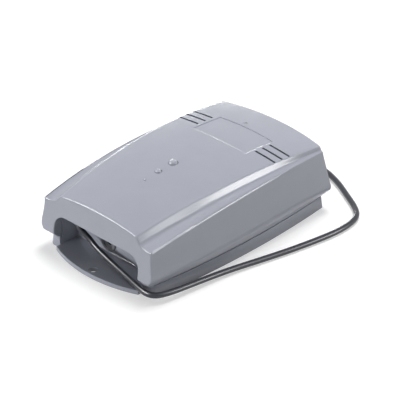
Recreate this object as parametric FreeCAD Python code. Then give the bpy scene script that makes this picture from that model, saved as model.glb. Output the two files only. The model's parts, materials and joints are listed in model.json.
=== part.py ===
import FreeCAD, Part
import math
import os

# Wireless relay receiver: a crowned cover on a low base tray, with a relay board inside.
# Lengths are in millimetres. X points right, Y from the front face to the rear, Z up from the underside.
# The model is drawn around its middle plane x = 0, with y = 0 where the front face stands below its top edge.
# On export it is moved so that the ear's hole, on the underside, is the origin.

Vec = FreeCAD.Vector
UP = Vec(0, 0, 1)
BACK = Vec(0, 1, 0)
RIGHT = Vec(1, 0, 0)
REACH = 200.0  # half the side of a cutting block, larger than the whole case

# Case in plan: each line is an arc about the middle plane, given by its widest half-width,
# the place of that width along the case, and its radius
case_length = 120.4
widest_half_width = 38.3
widest_y = 57.0
widest_radius = 860.0
crease_half_width = 36.95
crease_y = 47.0
crease_radius = 625.0
panel_half_width = 31.95
panel_y = 110.0
panel_radius = 834.0
base_half_width = 36.95
base_y = 53.0
base_radius = 485.0
rear_radius = 167.0

# Case in height
roof_height = 38.1
roof_y = 69.0
roof_radius = 312.0
panel_drop = 1.8
crease_drop = 5.75
crease_height_y = 78.0
crease_height_radius = 394.0
cover_foot = 5.9
parting_gap = 0.3
base_draft = 0.85

# Cover side, from its foot up: a chin that leans out, a rolled edge, a hollow flare, the crease,
# a cove and the roll of the top panel
chin_top = 10.2
chin_inset = 0.3
roll_height = 12.4
roll_top = 14.8
roll_inset = 0.5
flare_hollow = 0.4
cove_hollow = 0.45
groove_share = 0.3
groove_drop_share = 0.74
ridge_bulge = 0.35
panel_flat = 0.45

# Cover ends
front_upright_drop = 13.5
front_lean = 0.113
front_chin_height = 8.7
front_foot_y = 1.5
rear_foot_inset = 3.0
rear_chin_top = 9.6
rear_roll_height = 12.0
rear_roll_top = 14.4
rear_middle_height = 25.0
rear_top_drop = 3.3
rear_roll_inset = 0.7
rear_middle_inset = 3.5
rear_top_inset = 5.0

# Cover walls
foot_wall = 2.0
front_wall = 2.8
roof_wall = 2.4
rear_wall = 2.4
foot_ring_top = 9.2
shoulder_drop = 3.0
panel_wall_inset = 1.6

# Arched opening in the front of the cover
arch_half_width = 27.6
arch_height = 19.0
arch_corner_radius = 6.5

# Cover top details
recess_half_width = 17.1
recess_front = 78.0
recess_length = 18.9
recess_depth = 0.4
recess_bow = 0.85
slot_width = 1.0
slot_inner = 19.1
slot_outer = 32.4
slot_first_y = 82.8
slot_pitch = 4.8
slot_count = 3
slot_floor_height = 29.0
small_dome_y, small_dome_radius, small_dome_height = 30.1, 0.9, 0.5
middle_dome_y, middle_dome_radius, middle_dome_height = 38.6, 1.6, 0.8
large_dome_y, large_dome_radius, large_dome_height = 48.0, 2.3, 1.1
gate_mark_x, gate_mark_y, gate_mark_radius, gate_mark_depth = -2.1, 98.6, 1.1, 0.2

# Base tray
floor_thickness = 2.2
base_front = 1.54
base_corner_radius = 3.5
base_rear_inset = 2.9
base_rear_draft = 0.2
rim_height = 12.0
rim_thickness = 1.4
rim_gap = 0.3
bay_half_width = 27.1
bay_wall = 1.8
bulkhead_y = 12.0
bulkhead_thickness = 1.8
bulkhead_height = 17.5
ear_side_y = -0.8
ear_tip_y = -6.3
ear_hole_y = -2.8
ear_hole_radius = 2.1
keyhole_y = 92.0
keyhole_radius = 4.0
keyhole_slot_width = 4.4
keyhole_slot_length = 7.0

# Screws that hold the cover, from the underside
cover_screw_x = 28.0
cover_screw_front_y = 18.5
cover_screw_rear_x = 24.5
cover_screw_rear_space = 13.6
cover_screw_radius = 1.5
cover_screw_head_radius = 2.8
cover_screw_head_height = 2.2
cover_screw_head_z = 3.2
cover_screw_length = 17.0
drive_width = 0.8
drive_depth = 0.9
cover_post_radius = 3.9
cover_post_height = 14.0
cover_boss_radius = 2.9
cover_boss_gap = 0.3
screw_clearance = 0.1
head_clearance = 0.2

# Circuit board and its screws
board_half_width = 28.0
board_front_space = 9.2
board_rear_space = 18.4
board_standoff = 4.3
board_thickness = 1.6
board_screw_x = 24.5
board_screw_inset = 3.5
board_post_radius = 2.7
board_screw_radius = 1.25
board_screw_head_radius = 2.5
board_screw_head_height = 1.7
board_screw_length = 4.2

# Terminal block: one wire clamp and one screw for each way
way_count = 6
way_pitch = 6.35
block_end_wall = 0.7
block_depth = 11.0
block_height = 13.0
block_space = 2.0
pocket_floor = 1.5
pocket_height = 9.0
pocket_shoulder = 0.5
clamp_width = 4.6
clamp_depth = 4.2
clamp_height = 5.6
clamp_gap = 0.3
clamp_bar = 0.9
clamp_window_width = 3.0
clamp_window_height = 2.5
terminal_screw_radius = 1.5
terminal_head_radius = 2.0
terminal_head_height = 1.6
terminal_seat_gap = 0.1
terminal_tip_gap = 1.0
terminal_slot_width = 0.6
terminal_slot_depth = 0.7
wire_entry_width = 3.4
wire_entry_height = 3.4
thread_clearance = 0.05

# Relays
relay_x = 9.2
relay_space = 2.75
relay_width = 15.5
relay_length = 19.5
relay_base_height = 1.8
relay_case_height = 14.2
relay_case_wall = 0.7
coil_y = -2.6
coil_radius = 4.6
coil_flange_radius = 5.2
coil_flange_thickness = 0.8
coil_height = 9.3
core_radius = 2.5
core_clearance = 0.1
yoke_half_width = 3.5
yoke_thickness = 1.0
yoke_leg_y = 3.4
yoke_height = 11.4
pole_gap = 0.8
armature_half_width = 3.2
armature_thickness = 1.0
armature_gap = 0.3
armature_front_y = -6.0
leaf_half_width = 1.5
leaf_thickness = 0.3
leaf_end_y = 6.6
contact_wall_space = 2.05
contact_post_depth = 1.2
contact_gap = 0.4
contact_blade_gap = 0.6
contact_blade_thickness = 0.6
contact_half_width = 1.2

# Transformer, fuse and supply parts
transformer_x, transformer_space = 14.0, 2.75
transformer_width, transformer_length, transformer_height = 24.0, 23.0, 16.5
fuse_x, fuse_space = -10.0, 4.75
fuse_radius, fuse_length, fuse_cap_length = 2.6, 20.0, 5.0
fuse_glass_radius = 2.3
fuse_height = 3.6
clip_length, clip_thickness, clip_height, clip_gap = 4.6, 0.5, 6.0, 0.05
large_capacitor_x, large_capacitor_radius, large_capacitor_height = 10.4, 5.0, 14.0
small_capacitor_x, small_capacitor_radius, small_capacitor_height = 21.0, 4.0, 12.0
capacitor_inset = 10.0
regulator_x, regulator_width, regulator_depth, regulator_height = -0.4, 9.4, 3.2, 9.0
regulator_tab_thickness, regulator_tab_height, regulator_lead_height = 1.2, 6.0, 3.0
regulator_hole_radius = 1.8
diode_x, diode_pitch = -22.4, 10.5
diode_lead = 4.5  # how far the first diode lies ahead of the relays' middle
diode_radius, diode_length, diode_lead_radius, diode_lead_span = 1.3, 5.0, 0.4, 9.0

# Radio module and control parts
module_x, module_width, module_length = -13.4, 16.0, 20.0
module_rear_space = 2.0
module_height, module_thickness = 2.5, 1.0
module_pin_width, module_pin_pitch, module_pin_count, module_pin_inset = 0.64, 2.0, 8, 1.0
shield_width, shield_length, shield_height, shield_rear_space = 11.5, 12.0, 2.6, 1.5
control_space = 10.0  # from the fuse to the chip and the crystal
chip_x, chip_width, chip_length, chip_height = -12.0, 7.5, 10.3, 2.3
chip_lead_count, chip_lead_pitch, chip_lead_width, chip_lead_reach = 7, 1.27, 0.42, 1.4
chip_lead_thickness = 0.25
crystal_x, crystal_width, crystal_length, crystal_height = -2.6, 4.4, 10.6, 3.4
resistor_length, resistor_width, resistor_height = 1.6, 0.9, 0.5
resistor_x, resistor_pitch, resistor_count = -18.6, 2.2, 5
column_space = 3.25
led_lead, led_radius, led_height, led_rim = 11.9, 1.5, 4.0, 0.4
button_lead, button_side, button_height = 4.5, 6.0, 3.6
plunger_radius, plunger_height, plunger_gap, plunger_well = 1.7, 2.6, 0.08, 1.4
button_travel = 0.3
dip_lag, dip_width, dip_length, dip_height = 5.5, 6.2, 6.6, 3.0
slider_count, slider_pitch, slider_side, slider_height, slider_gap = 2, 2.54, 1.2, 1.6, 0.1
slider_travel = 1.6
slider_well = 1.2

# Cable grommet and the lead's bushing, both in the bulkhead
grommet_x, grommet_z = -5.2, 8.2
grommet_hole_radius, grommet_flange_radius, grommet_flange_thickness = 3.9, 4.6, 0.8
grommet_membrane_thickness, grommet_bore_radius = 0.8, 1.5
lead_radius = 1.4
lead_side_space, lead_z = 1.35, 14.5
bushing_radius = 2.4

# Places worked out from the sizes above
base_shoulder = cover_foot - parting_gap
crease_height = roof_height - crease_drop
rear_top_height = roof_height - rear_top_drop
front_upright_height = roof_height - front_upright_drop
cutter_top = roof_height + 5
base_rear = case_length - base_rear_inset
rear_foot = case_length - rear_foot_inset
rear_axis_y = case_length - rear_radius
cavity_front = front_foot_y + foot_wall - 0.2
cavity_rear = rear_foot - foot_wall
cover_screw_rear_y = case_length - cover_screw_rear_space
board_front = bulkhead_y + bulkhead_thickness + board_front_space
board_rear = case_length - board_rear_space
board_bottom = floor_thickness + board_standoff
board_top = board_bottom + board_thickness
block_y = board_front + block_space + block_depth / 2
block_half_width = way_count * way_pitch / 2 + block_end_wall
lead_x = -block_half_width - lead_side_space - lead_radius
column_x = block_half_width + column_space
relay_y = block_y + block_depth / 2 + relay_space + relay_length / 2
relay_floor = board_top + relay_base_height
diode_first_y = relay_y - diode_lead
led_y = relay_y - led_lead
button_y = relay_y - button_lead
dip_y = relay_y + dip_lag
supply_front = relay_y + relay_length / 2
transformer_y = supply_front + transformer_space + transformer_length / 2
fuse_y = supply_front + fuse_space
control_y = fuse_y + control_space
capacitor_y = board_rear - capacitor_inset
module_y = board_rear - module_rear_space - module_length / 2
module_bottom = board_top + module_height
module_top = module_bottom + module_thickness
shield_y = module_y + module_length / 2 - shield_rear_space - shield_length / 2

# Route of the lead's free part, from the bushing's front face to its end on the table
lead_route = [
    (lead_x, bulkhead_y, lead_z), (lead_x, 7.9, lead_z), (-19.0, 6.2, 12.4), (-14.4, 7.4, 9.1),
    (-8.3, 6.9, 6.0), (0.9, 5.6, 4.2), (14.4, 2.8, 3.75), (26.8, -0.4, 3.8), (33.2, -1.7, 3.8),
    (37.3, -0.1, 3.7), (39.2, 4.6, 3.5), (40.2, 11.0, 3.2), (41.2, 22.0, 2.7), (43.1, 40.2, 1.9),
    (48.1, 62.6, 1.45), (51.4, 77.9, 1.45), (54.4, 97.0, 1.45), (54.5, 108.5, 1.45), (52.2, 117.6, 1.45),
    (45.9, 123.3, 1.45), (35.0, 129.2, 1.45), (23.3, 135.6, 1.45), (9.0, 140.4, 1.45), (-6.5, 141.8, 1.45),
]

# Route of the lead inside the case, from the bushing to the radio module
inner_route = [
    (lead_x, bulkhead_y + bulkhead_thickness, lead_z), (lead_x, 31.0, lead_z), (lead_x + 0.1, 50.0, 13.6),
    (lead_x + 0.3, 67.0, 13.2), (-19.6, 81.0, 13.1),
]


def fall(distance, radius):
    """Height lost by a shallow arc at a distance from its peak."""
    return distance * distance / (2 * radius)


def widest_at(y):
    return widest_half_width - fall(y - widest_y, widest_radius)


def crease_at(y):
    return crease_half_width - fall(y - crease_y, crease_radius)


def crease_height_at(y):
    return crease_height - fall(y - crease_height_y, crease_height_radius)


def panel_at(y):
    return panel_half_width - fall(y - panel_y, panel_radius)


def roof_at(y):
    return roof_height - fall(y - roof_y, roof_radius)


def base_at(y):
    return base_half_width - fall(y - base_y, base_radius)


def foot_at(y):
    return base_at(y) - base_draft


def front_at(z):
    """Place of the leaning front face at a height."""
    return (z - front_upright_height) * front_lean


def line(start, end):
    return Part.LineSegment(start, end).toShape()


def arc(start, middle, end):
    return Part.Arc(start, middle, end).toShape()


def bezier(poles):
    curve = Part.BezierCurve()
    curve.setPoles(poles)
    return curve.toShape()


def box(x0, x1, y0, y1, z0, z1):
    return Part.makeBox(x1 - x0, y1 - y0, z1 - z0, Vec(x0, y0, z0))


def block(x, y, z, width, length, height):
    """Box that stands at height z with its middle over (x, y)."""
    return box(x - width / 2, x + width / 2, y - length / 2, y + length / 2, z, z + height)


def rod(radius, height, x, y, z, axis=UP):
    return Part.makeCylinder(radius, height, Vec(x, y, z), axis)


def join(first, *others):
    return first.multiFuse(list(others)).removeSplitter()


def polygon_prism(points, direction):
    """Solid swept from a closed outline of straight sides."""
    return Part.Face(Part.makePolygon(points + [points[0]])).extrude(direction)


def pan_screw(x, y, head_z, head_radius, head_height, shank_radius, shank_length, head_up):
    """Screw with a crossed drive; its head lies above head_z, or below it for a screw from underneath."""
    side = 1 if head_up else -1
    top = head_z + side * head_height
    head = rod(head_radius, head_height, x, y, head_z, Vec(0, 0, side))
    shank = rod(shank_radius, shank_length, x, y, head_z, Vec(0, 0, -side))
    low, high = sorted((top, top - side * drive_depth))
    reach, half = head_radius * 0.6, drive_width / 2
    along = box(x - half, x + half, y - reach, y + reach, low, high)
    across = box(x - reach, x + reach, y - half, y + half, low, high)
    return join(head, shank).cut([along, across])


def save(node, shape):
    """Write one node, with the ear's hole moved to the origin."""
    moved = shape.copy()
    moved.translate(Vec(0, -ear_hole_y, 0))
    moved.exportStep("parts/" + node + ".step")


def bent(start, middle, end):
    """Poles of a curve that passes through a middle point."""
    return [start, middle * 2 - (start + end) * 0.5, end]


def side_curves(y, side):
    """Curves of one side of the cover at a distance y, from the foot up to the top panel's edge."""
    foot, wide, crease, panel = foot_at(y), widest_at(y), crease_at(y), panel_at(y)
    crease_z, panel_z = crease_height_at(y), roof_at(y) - panel_drop
    groove = panel + groove_share * (crease - panel)
    groove_z = panel_z - groove_drop_share * (panel_z - crease_z)

    def at(x, z):
        return Vec(side * x, y, z)

    chin_end = at(wide - chin_inset, chin_top)
    roll_end = at(wide - roll_inset, roll_top)
    flare_middle = at((wide - roll_inset + crease) / 2 - flare_hollow, (roll_top + crease_z) / 2)
    cove_middle = at((crease + groove) / 2, (crease_z + groove_z) / 2 - cove_hollow)
    ridge_middle = at((groove + panel) / 2 + ridge_bulge, (groove_z + panel_z) / 2 + ridge_bulge)
    return [
        [at(foot, cover_foot), chin_end],
        bent(chin_end, at(wide, roll_height), roll_end),
        bent(roll_end, flare_middle, at(crease, crease_z)),
        bent(at(crease, crease_z), cove_middle, at(groove, groove_z)),
        bent(at(groove, groove_z), ridge_middle, at(panel, panel_z)),
    ]


def crown(half_width, edge_z, rise, y):
    """Curve over the top, nearly flat in the middle and falling to both edges."""
    pole_z = edge_z + rise * 4 / 3
    poles = [(half_width, edge_z), (half_width * panel_flat, pole_z)]
    poles += [(-x, z) for x, z in reversed(poles)]
    return [Vec(x, y, z) for x, z in poles]


def backwards(curves):
    return [list(reversed(poles)) for poles in reversed(curves)]


def outer_section(y):
    top = crown(panel_at(y), roof_at(y) - panel_drop, panel_drop, y)
    bottom = [Vec(-foot_at(y), y, cover_foot), Vec(foot_at(y), y, cover_foot)]
    return [bottom] + side_curves(y, 1) + [top] + backwards(side_curves(y, -1))


def inner_section(y):
    wall_x = foot_at(y) - foot_wall
    shoulder_z = crease_height_at(y) - shoulder_drop
    panel_x = panel_at(y) - panel_wall_inset
    panel_z = roof_at(y) - panel_drop - roof_wall
    low = cover_foot - REACH / 20
    right = [Vec(wall_x, y, low), Vec(wall_x, y, shoulder_z), Vec(panel_x, y, panel_z)]
    left = [Vec(-point.x, point.y, point.z) for point in reversed(right)]
    walls = [right[:2], right[1:], crown(panel_x, panel_z, panel_drop, y), left[:2], left[1:]]
    return [[left[-1], right[0]]] + walls


def skin_along(section):
    """Solid whose section's points each follow a parabola, from ahead of the front face to behind the rear."""
    first, last = -6.0, case_length + 5.0
    near, halfway, far = section(first), section((first + last) / 2), section(last)
    faces = [Part.Face(Part.Wire([bezier(poles) for poles in end])) for end in (near, far)]
    for near_poles, half_poles, far_poles in zip(near, halfway, far):
        surface = Part.BezierSurface()
        surface.increase(2, len(near_poles) - 1)
        for index, (start, middle, end) in enumerate(zip(near_poles, half_poles, far_poles), 1):
            surface.setPole(1, index, start)
            surface.setPole(2, index, middle * 2 - (start + end) * 0.5)
            surface.setPole(3, index, end)
        faces.append(surface.toShape())
    shell = Part.makeShell(faces)
    shell.sewShape()
    solid = Part.makeSolid(shell)
    if solid.Volume < 0:
        solid.reverse()
    return solid


def reversed_path(edges):
    return [edge.reversed() for edge in reversed(edges)]


def turned(outline):
    """Solid of revolution about the rear arc's upright axis, from (y, z) lines and arcs."""
    return Part.Face(Part.Wire(outline)).revolve(Vec(0, rear_axis_y, 0), UP, 360)


def profile(y, z):
    return Vec(0, y, z)


def rear_outer_limit():
    top_y = case_length - rear_top_inset
    foot, chin = profile(rear_foot, cover_foot), profile(case_length - 0.1, rear_chin_top)
    roll = profile(case_length - rear_roll_inset, rear_roll_top)
    top = profile(top_y, rear_top_height)
    peak = profile(top_y - 1.5, cutter_top)
    axis_low, axis_high = profile(rear_axis_y, cover_foot), profile(rear_axis_y, cutter_top)
    return turned([
        line(axis_low, foot),
        line(foot, chin),
        arc(chin, profile(case_length, rear_roll_height), roll),
        arc(roll, profile(case_length - rear_middle_inset, rear_middle_height), top),
        line(top, peak),
        line(peak, axis_high),
        line(axis_high, axis_low),
    ])


def rear_inner_limit():
    low, high = cover_foot - REACH / 20, cutter_top
    bend = profile(cavity_rear, rear_roll_top + rear_wall)
    top_y = case_length - rear_top_inset - rear_wall
    points = [profile(rear_axis_y, low), profile(cavity_rear, low), bend, profile(top_y, rear_top_height),
              profile(top_y - 1.5, high), profile(rear_axis_y, high)]
    return turned([line(start, end) for start, end in zip(points, points[1:] + points[:1])])


def front_outer_limit():
    high = cutter_top
    chin = front_chin_height
    points = [(front_foot_y, cover_foot), (front_at(chin), chin), (front_at(high), high), (REACH, high),
              (REACH, cover_foot)]
    outline = [Vec(-REACH / 2, y, z) for y, z in points]
    return polygon_prism(outline, Vec(REACH, 0, 0))


def front_inner_limit():
    low, high = cover_foot - REACH / 20, cutter_top
    ring = foot_ring_top
    points = [(cavity_front, low), (cavity_front, ring), (front_at(ring) + front_wall, ring),
              (front_at(high) + front_wall, high), (REACH, high), (REACH, low)]
    outline = [Vec(-REACH / 2, y, z) for y, z in points]
    return polygon_prism(outline, Vec(REACH, 0, 0))


def arch_tool():
    """Straight jambs and lintel with round corners, open at the bottom."""
    y = -REACH / 10
    low = -REACH / 20
    radius, half, top = arch_corner_radius, arch_half_width, arch_height
    bevel = radius * (1 - math.sqrt(0.5))
    edges = [
        line(Vec(half, y, low), Vec(half, y, top - radius)),
        arc(Vec(half, y, top - radius), Vec(half - bevel, y, top - bevel), Vec(half - radius, y, top)),
        line(Vec(half - radius, y, top), Vec(radius - half, y, top)),
        arc(Vec(radius - half, y, top), Vec(bevel - half, y, top - bevel), Vec(-half, y, top - radius)),
        line(Vec(-half, y, top - radius), Vec(-half, y, low)),
        line(Vec(-half, y, low), Vec(half, y, low)),
    ]
    return Part.Face(Part.Wire(edges)).extrude(Vec(0, cavity_front + 1 - y, 0))


def dome(y, radius, height):
    """Low spherical bump on the roof's middle line."""
    ball_radius = (radius * radius + height * height) / (2 * height)
    ball = Part.makeSphere(ball_radius, Vec(0, y, roof_at(y) + height - ball_radius))
    return ball.common(rod(radius + 0.5, height + 1, 0, y, roof_at(y) - 0.8))


def cover_screw_places():
    front = [(side * cover_screw_x, cover_screw_front_y) for side in (-1, 1)]
    rear = [(side * cover_screw_rear_x, cover_screw_rear_y) for side in (-1, 1)]
    return front + rear


def recess_tool(outer):
    """Everything of the cover's skin within the label outline, down to the recess depth."""
    end = recess_front + recess_length
    corner_y = end - recess_bow
    half = recess_half_width
    z = crease_height
    outline = Part.Wire([
        line(Vec(-half, recess_front, z), Vec(half, recess_front, z)),
        line(Vec(half, recess_front, z), Vec(half, corner_y, z)),
        arc(Vec(half, corner_y, z), Vec(0, end, z), Vec(-half, corner_y, z)),
        line(Vec(-half, corner_y, z), Vec(-half, recess_front, z)),
    ])
    lowered = outer.copy()
    lowered.translate(Vec(0, 0, -recess_depth))
    return Part.Face(outline).extrude(Vec(0, 0, REACH / 10)).cut(lowered)


def top_cover():
    outer = skin_along(outer_section).common(front_outer_limit()).common(rear_outer_limit())
    cavity = skin_along(inner_section).common(front_inner_limit()).common(rear_inner_limit())
    boss_foot = cover_post_height + cover_boss_gap
    shell = outer.cut([cavity, arch_tool()])
    bosses = [rod(cover_boss_radius, REACH / 5, x, y, boss_foot) for x, y in cover_screw_places()]
    shell = shell.multiFuse([boss.common(outer) for boss in bosses])
    hole_top = cover_screw_head_z + cover_screw_length + 1
    holes = [rod(cover_screw_radius + screw_clearance, hole_top - boss_foot + 1, x, y, boss_foot - 1)
             for x, y in cover_screw_places()]
    slots = []
    for step in range(slot_count):
        y = slot_first_y + step * slot_pitch
        for side in (-1, 1):
            inner, far = sorted((side * slot_inner, side * slot_outer))
            slots.append(box(inner, far, y - slot_width / 2, y + slot_width / 2, slot_floor_height, REACH / 4))
    mark_z = roof_at(gate_mark_y) - gate_mark_depth
    mark = rod(gate_mark_radius, 1, gate_mark_x, gate_mark_y, mark_z)
    shell = shell.cut(holes + slots + [recess_tool(outer), mark])
    domes = [
        dome(small_dome_y, small_dome_radius, small_dome_height),
        dome(middle_dome_y, middle_dome_radius, middle_dome_height),
        dome(large_dome_y, large_dome_radius, large_dome_height),
    ]
    return shell.multiFuse(domes)


def tray_outline(half_at, front, rear, corner, z):
    """Closed outline in plan: straight front, round front corners, barrel sides and a bowed rear."""
    rear_x = half_at(rear)
    for _ in range(8):
        rear_corner_y = rear - fall(rear_x, rear_radius)
        rear_x = half_at(rear_corner_y)
    side_start = front + corner
    front_x = half_at(side_start) - corner
    bevel = corner * (1 - math.sqrt(0.5))
    middle = (side_start + rear_corner_y) / 2

    def at(side, x, y):
        return Vec(side * x, y, z)

    def half_edges(side):
        return [
            arc(at(side, front_x, front), at(side, half_at(side_start) - bevel, front + bevel),
                at(side, half_at(side_start), side_start)),
            arc(at(side, half_at(side_start), side_start), at(side, half_at(middle), middle),
                at(side, rear_x, rear_corner_y)),
        ]

    front_edge = line(at(-1, front_x, front), at(1, front_x, front))
    rear_edge = arc(at(1, rear_x, rear_corner_y), at(1, 0, rear), at(-1, rear_x, rear_corner_y))
    return Part.Wire([front_edge] + half_edges(1) + [rear_edge] + reversed_path(half_edges(-1)))


def tray_block(inset, front, rear, low, high):
    """Upright block with the tray's outline, set in from the cover's foot line."""
    corner = max(base_corner_radius - inset / 2, 1.0)
    outline = tray_outline(lambda y: foot_at(y) - inset, front, rear, corner, low)
    return Part.Face(outline).extrude(Vec(0, 0, high - low))


def ear():
    side_x = bay_half_width
    corners = [Vec(side_x, base_front + 1, 0), Vec(side_x, ear_side_y, 0), Vec(-side_x, ear_side_y, 0),
               Vec(-side_x, base_front + 1, 0)]
    outline = Part.Wire([
        line(corners[0], corners[1]),
        arc(corners[1], Vec(0, ear_tip_y, 0), corners[2]),
        line(corners[2], corners[3]),
        line(corners[3], corners[0]),
    ])
    return Part.Face(outline).extrude(Vec(0, 0, floor_thickness))


def board_post_places():
    rows = (board_front + board_screw_inset, board_rear - board_screw_inset)
    return [(side * board_screw_x, y) for y in rows for side in (-1, 1)]


def base_tray():
    rim_inset = foot_wall + rim_gap
    rim_front, rim_rear = cavity_front + rim_gap, cavity_rear - rim_gap
    lower = tray_outline(base_at, base_front, base_rear, base_corner_radius, 0)
    upper = tray_outline(foot_at, base_front, base_rear - base_rear_draft, base_corner_radius, base_shoulder)
    tray = Part.makeLoft([lower, upper], True, True)
    rim = tray_block(rim_inset, rim_front, rim_rear, floor_thickness, rim_height)
    hollow = tray_block(rim_inset + rim_thickness, rim_front + rim_thickness, rim_rear - rim_thickness,
                        floor_thickness, REACH / 4)
    bay = box(-bay_half_width, bay_half_width, ear_tip_y, bulkhead_y, floor_thickness, REACH / 4)
    tray = tray.multiFuse([rim, ear()]).cut([hollow, bay])
    wall_x = bay_half_width + bay_wall
    bulkhead_rear = bulkhead_y + bulkhead_thickness
    added = [box(-wall_x, wall_x, bulkhead_y, bulkhead_rear, floor_thickness, bulkhead_height)]
    for side in (-1, 1):
        inner, outer = sorted((side * bay_half_width, side * wall_x))
        added.append(box(inner, outer, rim_front, bulkhead_rear, floor_thickness, bulkhead_height))
    for x, y in cover_screw_places():
        added.append(rod(cover_post_radius, cover_post_height, x, y, 0))
    for x, y in board_post_places():
        added.append(rod(board_post_radius, board_bottom, x, y, 0))
    tray = tray.multiFuse(added)
    cuts = [
        rod(ear_hole_radius, floor_thickness, 0, ear_hole_y, 0),
        rod(keyhole_radius, floor_thickness, 0, keyhole_y, 0),
        box(-keyhole_slot_width / 2, keyhole_slot_width / 2, keyhole_y, keyhole_y + keyhole_slot_length,
            0, floor_thickness),
        rod(keyhole_slot_width / 2, floor_thickness, 0, keyhole_y + keyhole_slot_length, 0),
        rod(grommet_hole_radius, bulkhead_thickness, grommet_x, bulkhead_y, grommet_z, BACK),
        rod(bushing_radius, bulkhead_thickness, lead_x, bulkhead_y, lead_z, BACK),
    ]
    head_floor = cover_screw_head_z
    for x, y in cover_screw_places():
        cuts.append(rod(cover_screw_head_radius + head_clearance, head_floor, x, y, 0))
        cuts.append(rod(cover_screw_radius + screw_clearance, cover_post_height, x, y, 0))
    for x, y in board_post_places():
        cuts.append(rod(board_screw_radius + thread_clearance, board_standoff, x, y, floor_thickness))
    return tray.cut(cuts).removeSplitter()


def screws(places, *sizes):
    return Part.makeCompound([pan_screw(x, y, *sizes) for x, y in places])


def circuit_board():
    board = box(-board_half_width, board_half_width, board_front, board_rear, board_bottom, board_top)
    holes = [rod(board_screw_radius + thread_clearance, board_thickness, x, y, board_bottom)
             for x, y in board_post_places()]
    return board.cut(holes)


def cable_grommet():
    """Rubber bush that grips both faces of the bulkhead, closed by a membrane with a small bore."""
    y0, y1 = bulkhead_y, bulkhead_y + bulkhead_thickness
    flange = grommet_flange_thickness
    sleeve = rod(grommet_hole_radius, y1 - y0 + 2 * flange, grommet_x, y0 - flange, grommet_z, BACK)
    front = rod(grommet_flange_radius, flange, grommet_x, y0 - flange, grommet_z, BACK)
    rear = rod(grommet_flange_radius, flange, grommet_x, y1, grommet_z, BACK)
    inner_radius = grommet_hole_radius - grommet_membrane_thickness
    dish = rod(inner_radius, flange, grommet_x, y0 - flange, grommet_z, BACK)
    rear_well_y = y0 + grommet_membrane_thickness
    rear_well = rod(inner_radius, y1 + flange - rear_well_y, grommet_x, rear_well_y, grommet_z, BACK)
    bore = rod(grommet_bore_radius, y1 - y0 + 2 * flange, grommet_x, y0 - flange, grommet_z, BACK)
    return join(sleeve, front, rear).cut([dish, rear_well, bore])


def way_places():
    return [(way - (way_count - 1) / 2) * way_pitch for way in range(way_count)]


clamp_z = board_top + pocket_floor + clamp_gap
pocket_top = board_top + pocket_floor + pocket_height
head_seat = pocket_top + pocket_shoulder
screw_head_z = head_seat + terminal_seat_gap
screw_tip_z = clamp_z + clamp_bar + clamp_window_height + terminal_tip_gap


def terminal_block_housing():
    front = block_y - block_depth / 2
    housing = block(0, block_y, board_top, 2 * block_half_width, block_depth, block_height)
    pocket_width = clamp_width + 2 * clamp_gap
    pocket_depth = clamp_depth + 2 * clamp_gap
    entry_z = clamp_z + clamp_gap
    cuts = []
    for x in way_places():
        cuts.append(block(x, block_y, board_top + pocket_floor, pocket_width, pocket_depth, pocket_height))
        cuts.append(rod(terminal_head_radius + screw_clearance, block_height, x, block_y, head_seat))
        cuts.append(rod(terminal_screw_radius + screw_clearance, block_height, x, block_y, pocket_top - 1))
        cuts.append(box(x - wire_entry_width / 2, x + wire_entry_width / 2, front, block_y, entry_z,
                        entry_z + wire_entry_height))
    return housing.cut(cuts)


def terminal_clamp(x):
    """Rising cage with a window for the wire and a threaded top."""
    cage = block(x, block_y, clamp_z, clamp_width, clamp_depth, clamp_height)
    window = block(x, block_y, clamp_z + clamp_bar, clamp_window_width, clamp_depth, clamp_window_height)
    thread = rod(terminal_screw_radius + thread_clearance, clamp_height, x, block_y, clamp_z + clamp_bar)
    return cage.cut([window, thread])


def terminal_screw(x):
    head = rod(terminal_head_radius, terminal_head_height, x, block_y, screw_head_z)
    shank = rod(terminal_screw_radius, screw_head_z - screw_tip_z, x, block_y, screw_tip_z)
    slot_z = screw_head_z + terminal_head_height - terminal_slot_depth
    slot = block(x, block_y, slot_z, 2 * terminal_head_radius, terminal_slot_width, terminal_slot_depth)
    return join(head, shank).cut(slot)


def relay_base(x):
    return block(x, relay_y, board_top, relay_width, relay_length, relay_base_height)


def relay_coil(x):
    """Winding between two flanges, with a bore for the core."""
    z = relay_floor + yoke_thickness
    y = relay_y + coil_y
    winding = rod(coil_radius, coil_height, x, y, z)
    lower = rod(coil_flange_radius, coil_flange_thickness, x, y, z)
    upper = rod(coil_flange_radius, coil_flange_thickness, x, y, z + coil_height - coil_flange_thickness)
    bore = rod(core_radius + core_clearance, coil_height, x, y, z)
    return join(winding, lower, upper).cut(bore)


def relay_yoke(x):
    """Bent steel strip under the coil and up behind it, with the core riveted to it."""
    leg_rear = relay_y + yoke_leg_y + yoke_thickness
    strip_front = relay_y + coil_y - coil_radius
    strip = box(x - yoke_half_width, x + yoke_half_width, strip_front, leg_rear, relay_floor,
                relay_floor + yoke_thickness)
    leg = box(x - yoke_half_width, x + yoke_half_width, relay_y + yoke_leg_y, leg_rear, relay_floor,
              relay_floor + yoke_height)
    core_top = relay_floor + yoke_height + armature_gap - pole_gap
    core = rod(core_radius, core_top - relay_floor, x, relay_y + coil_y, relay_floor)
    return join(strip, leg, core)


def relay_armature(x):
    """Plate that rocks on the yoke's upper edge and carries the moving contact's leaf."""
    z = relay_floor + yoke_height + armature_gap
    plate = box(x - armature_half_width, x + armature_half_width, relay_y + armature_front_y,
                relay_y + yoke_leg_y + yoke_thickness, z, z + armature_thickness)
    leaf = box(x - leaf_half_width, x + leaf_half_width, relay_y + yoke_leg_y, relay_y + leaf_end_y, z,
               z + leaf_thickness)
    return join(plate, leaf)


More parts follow.
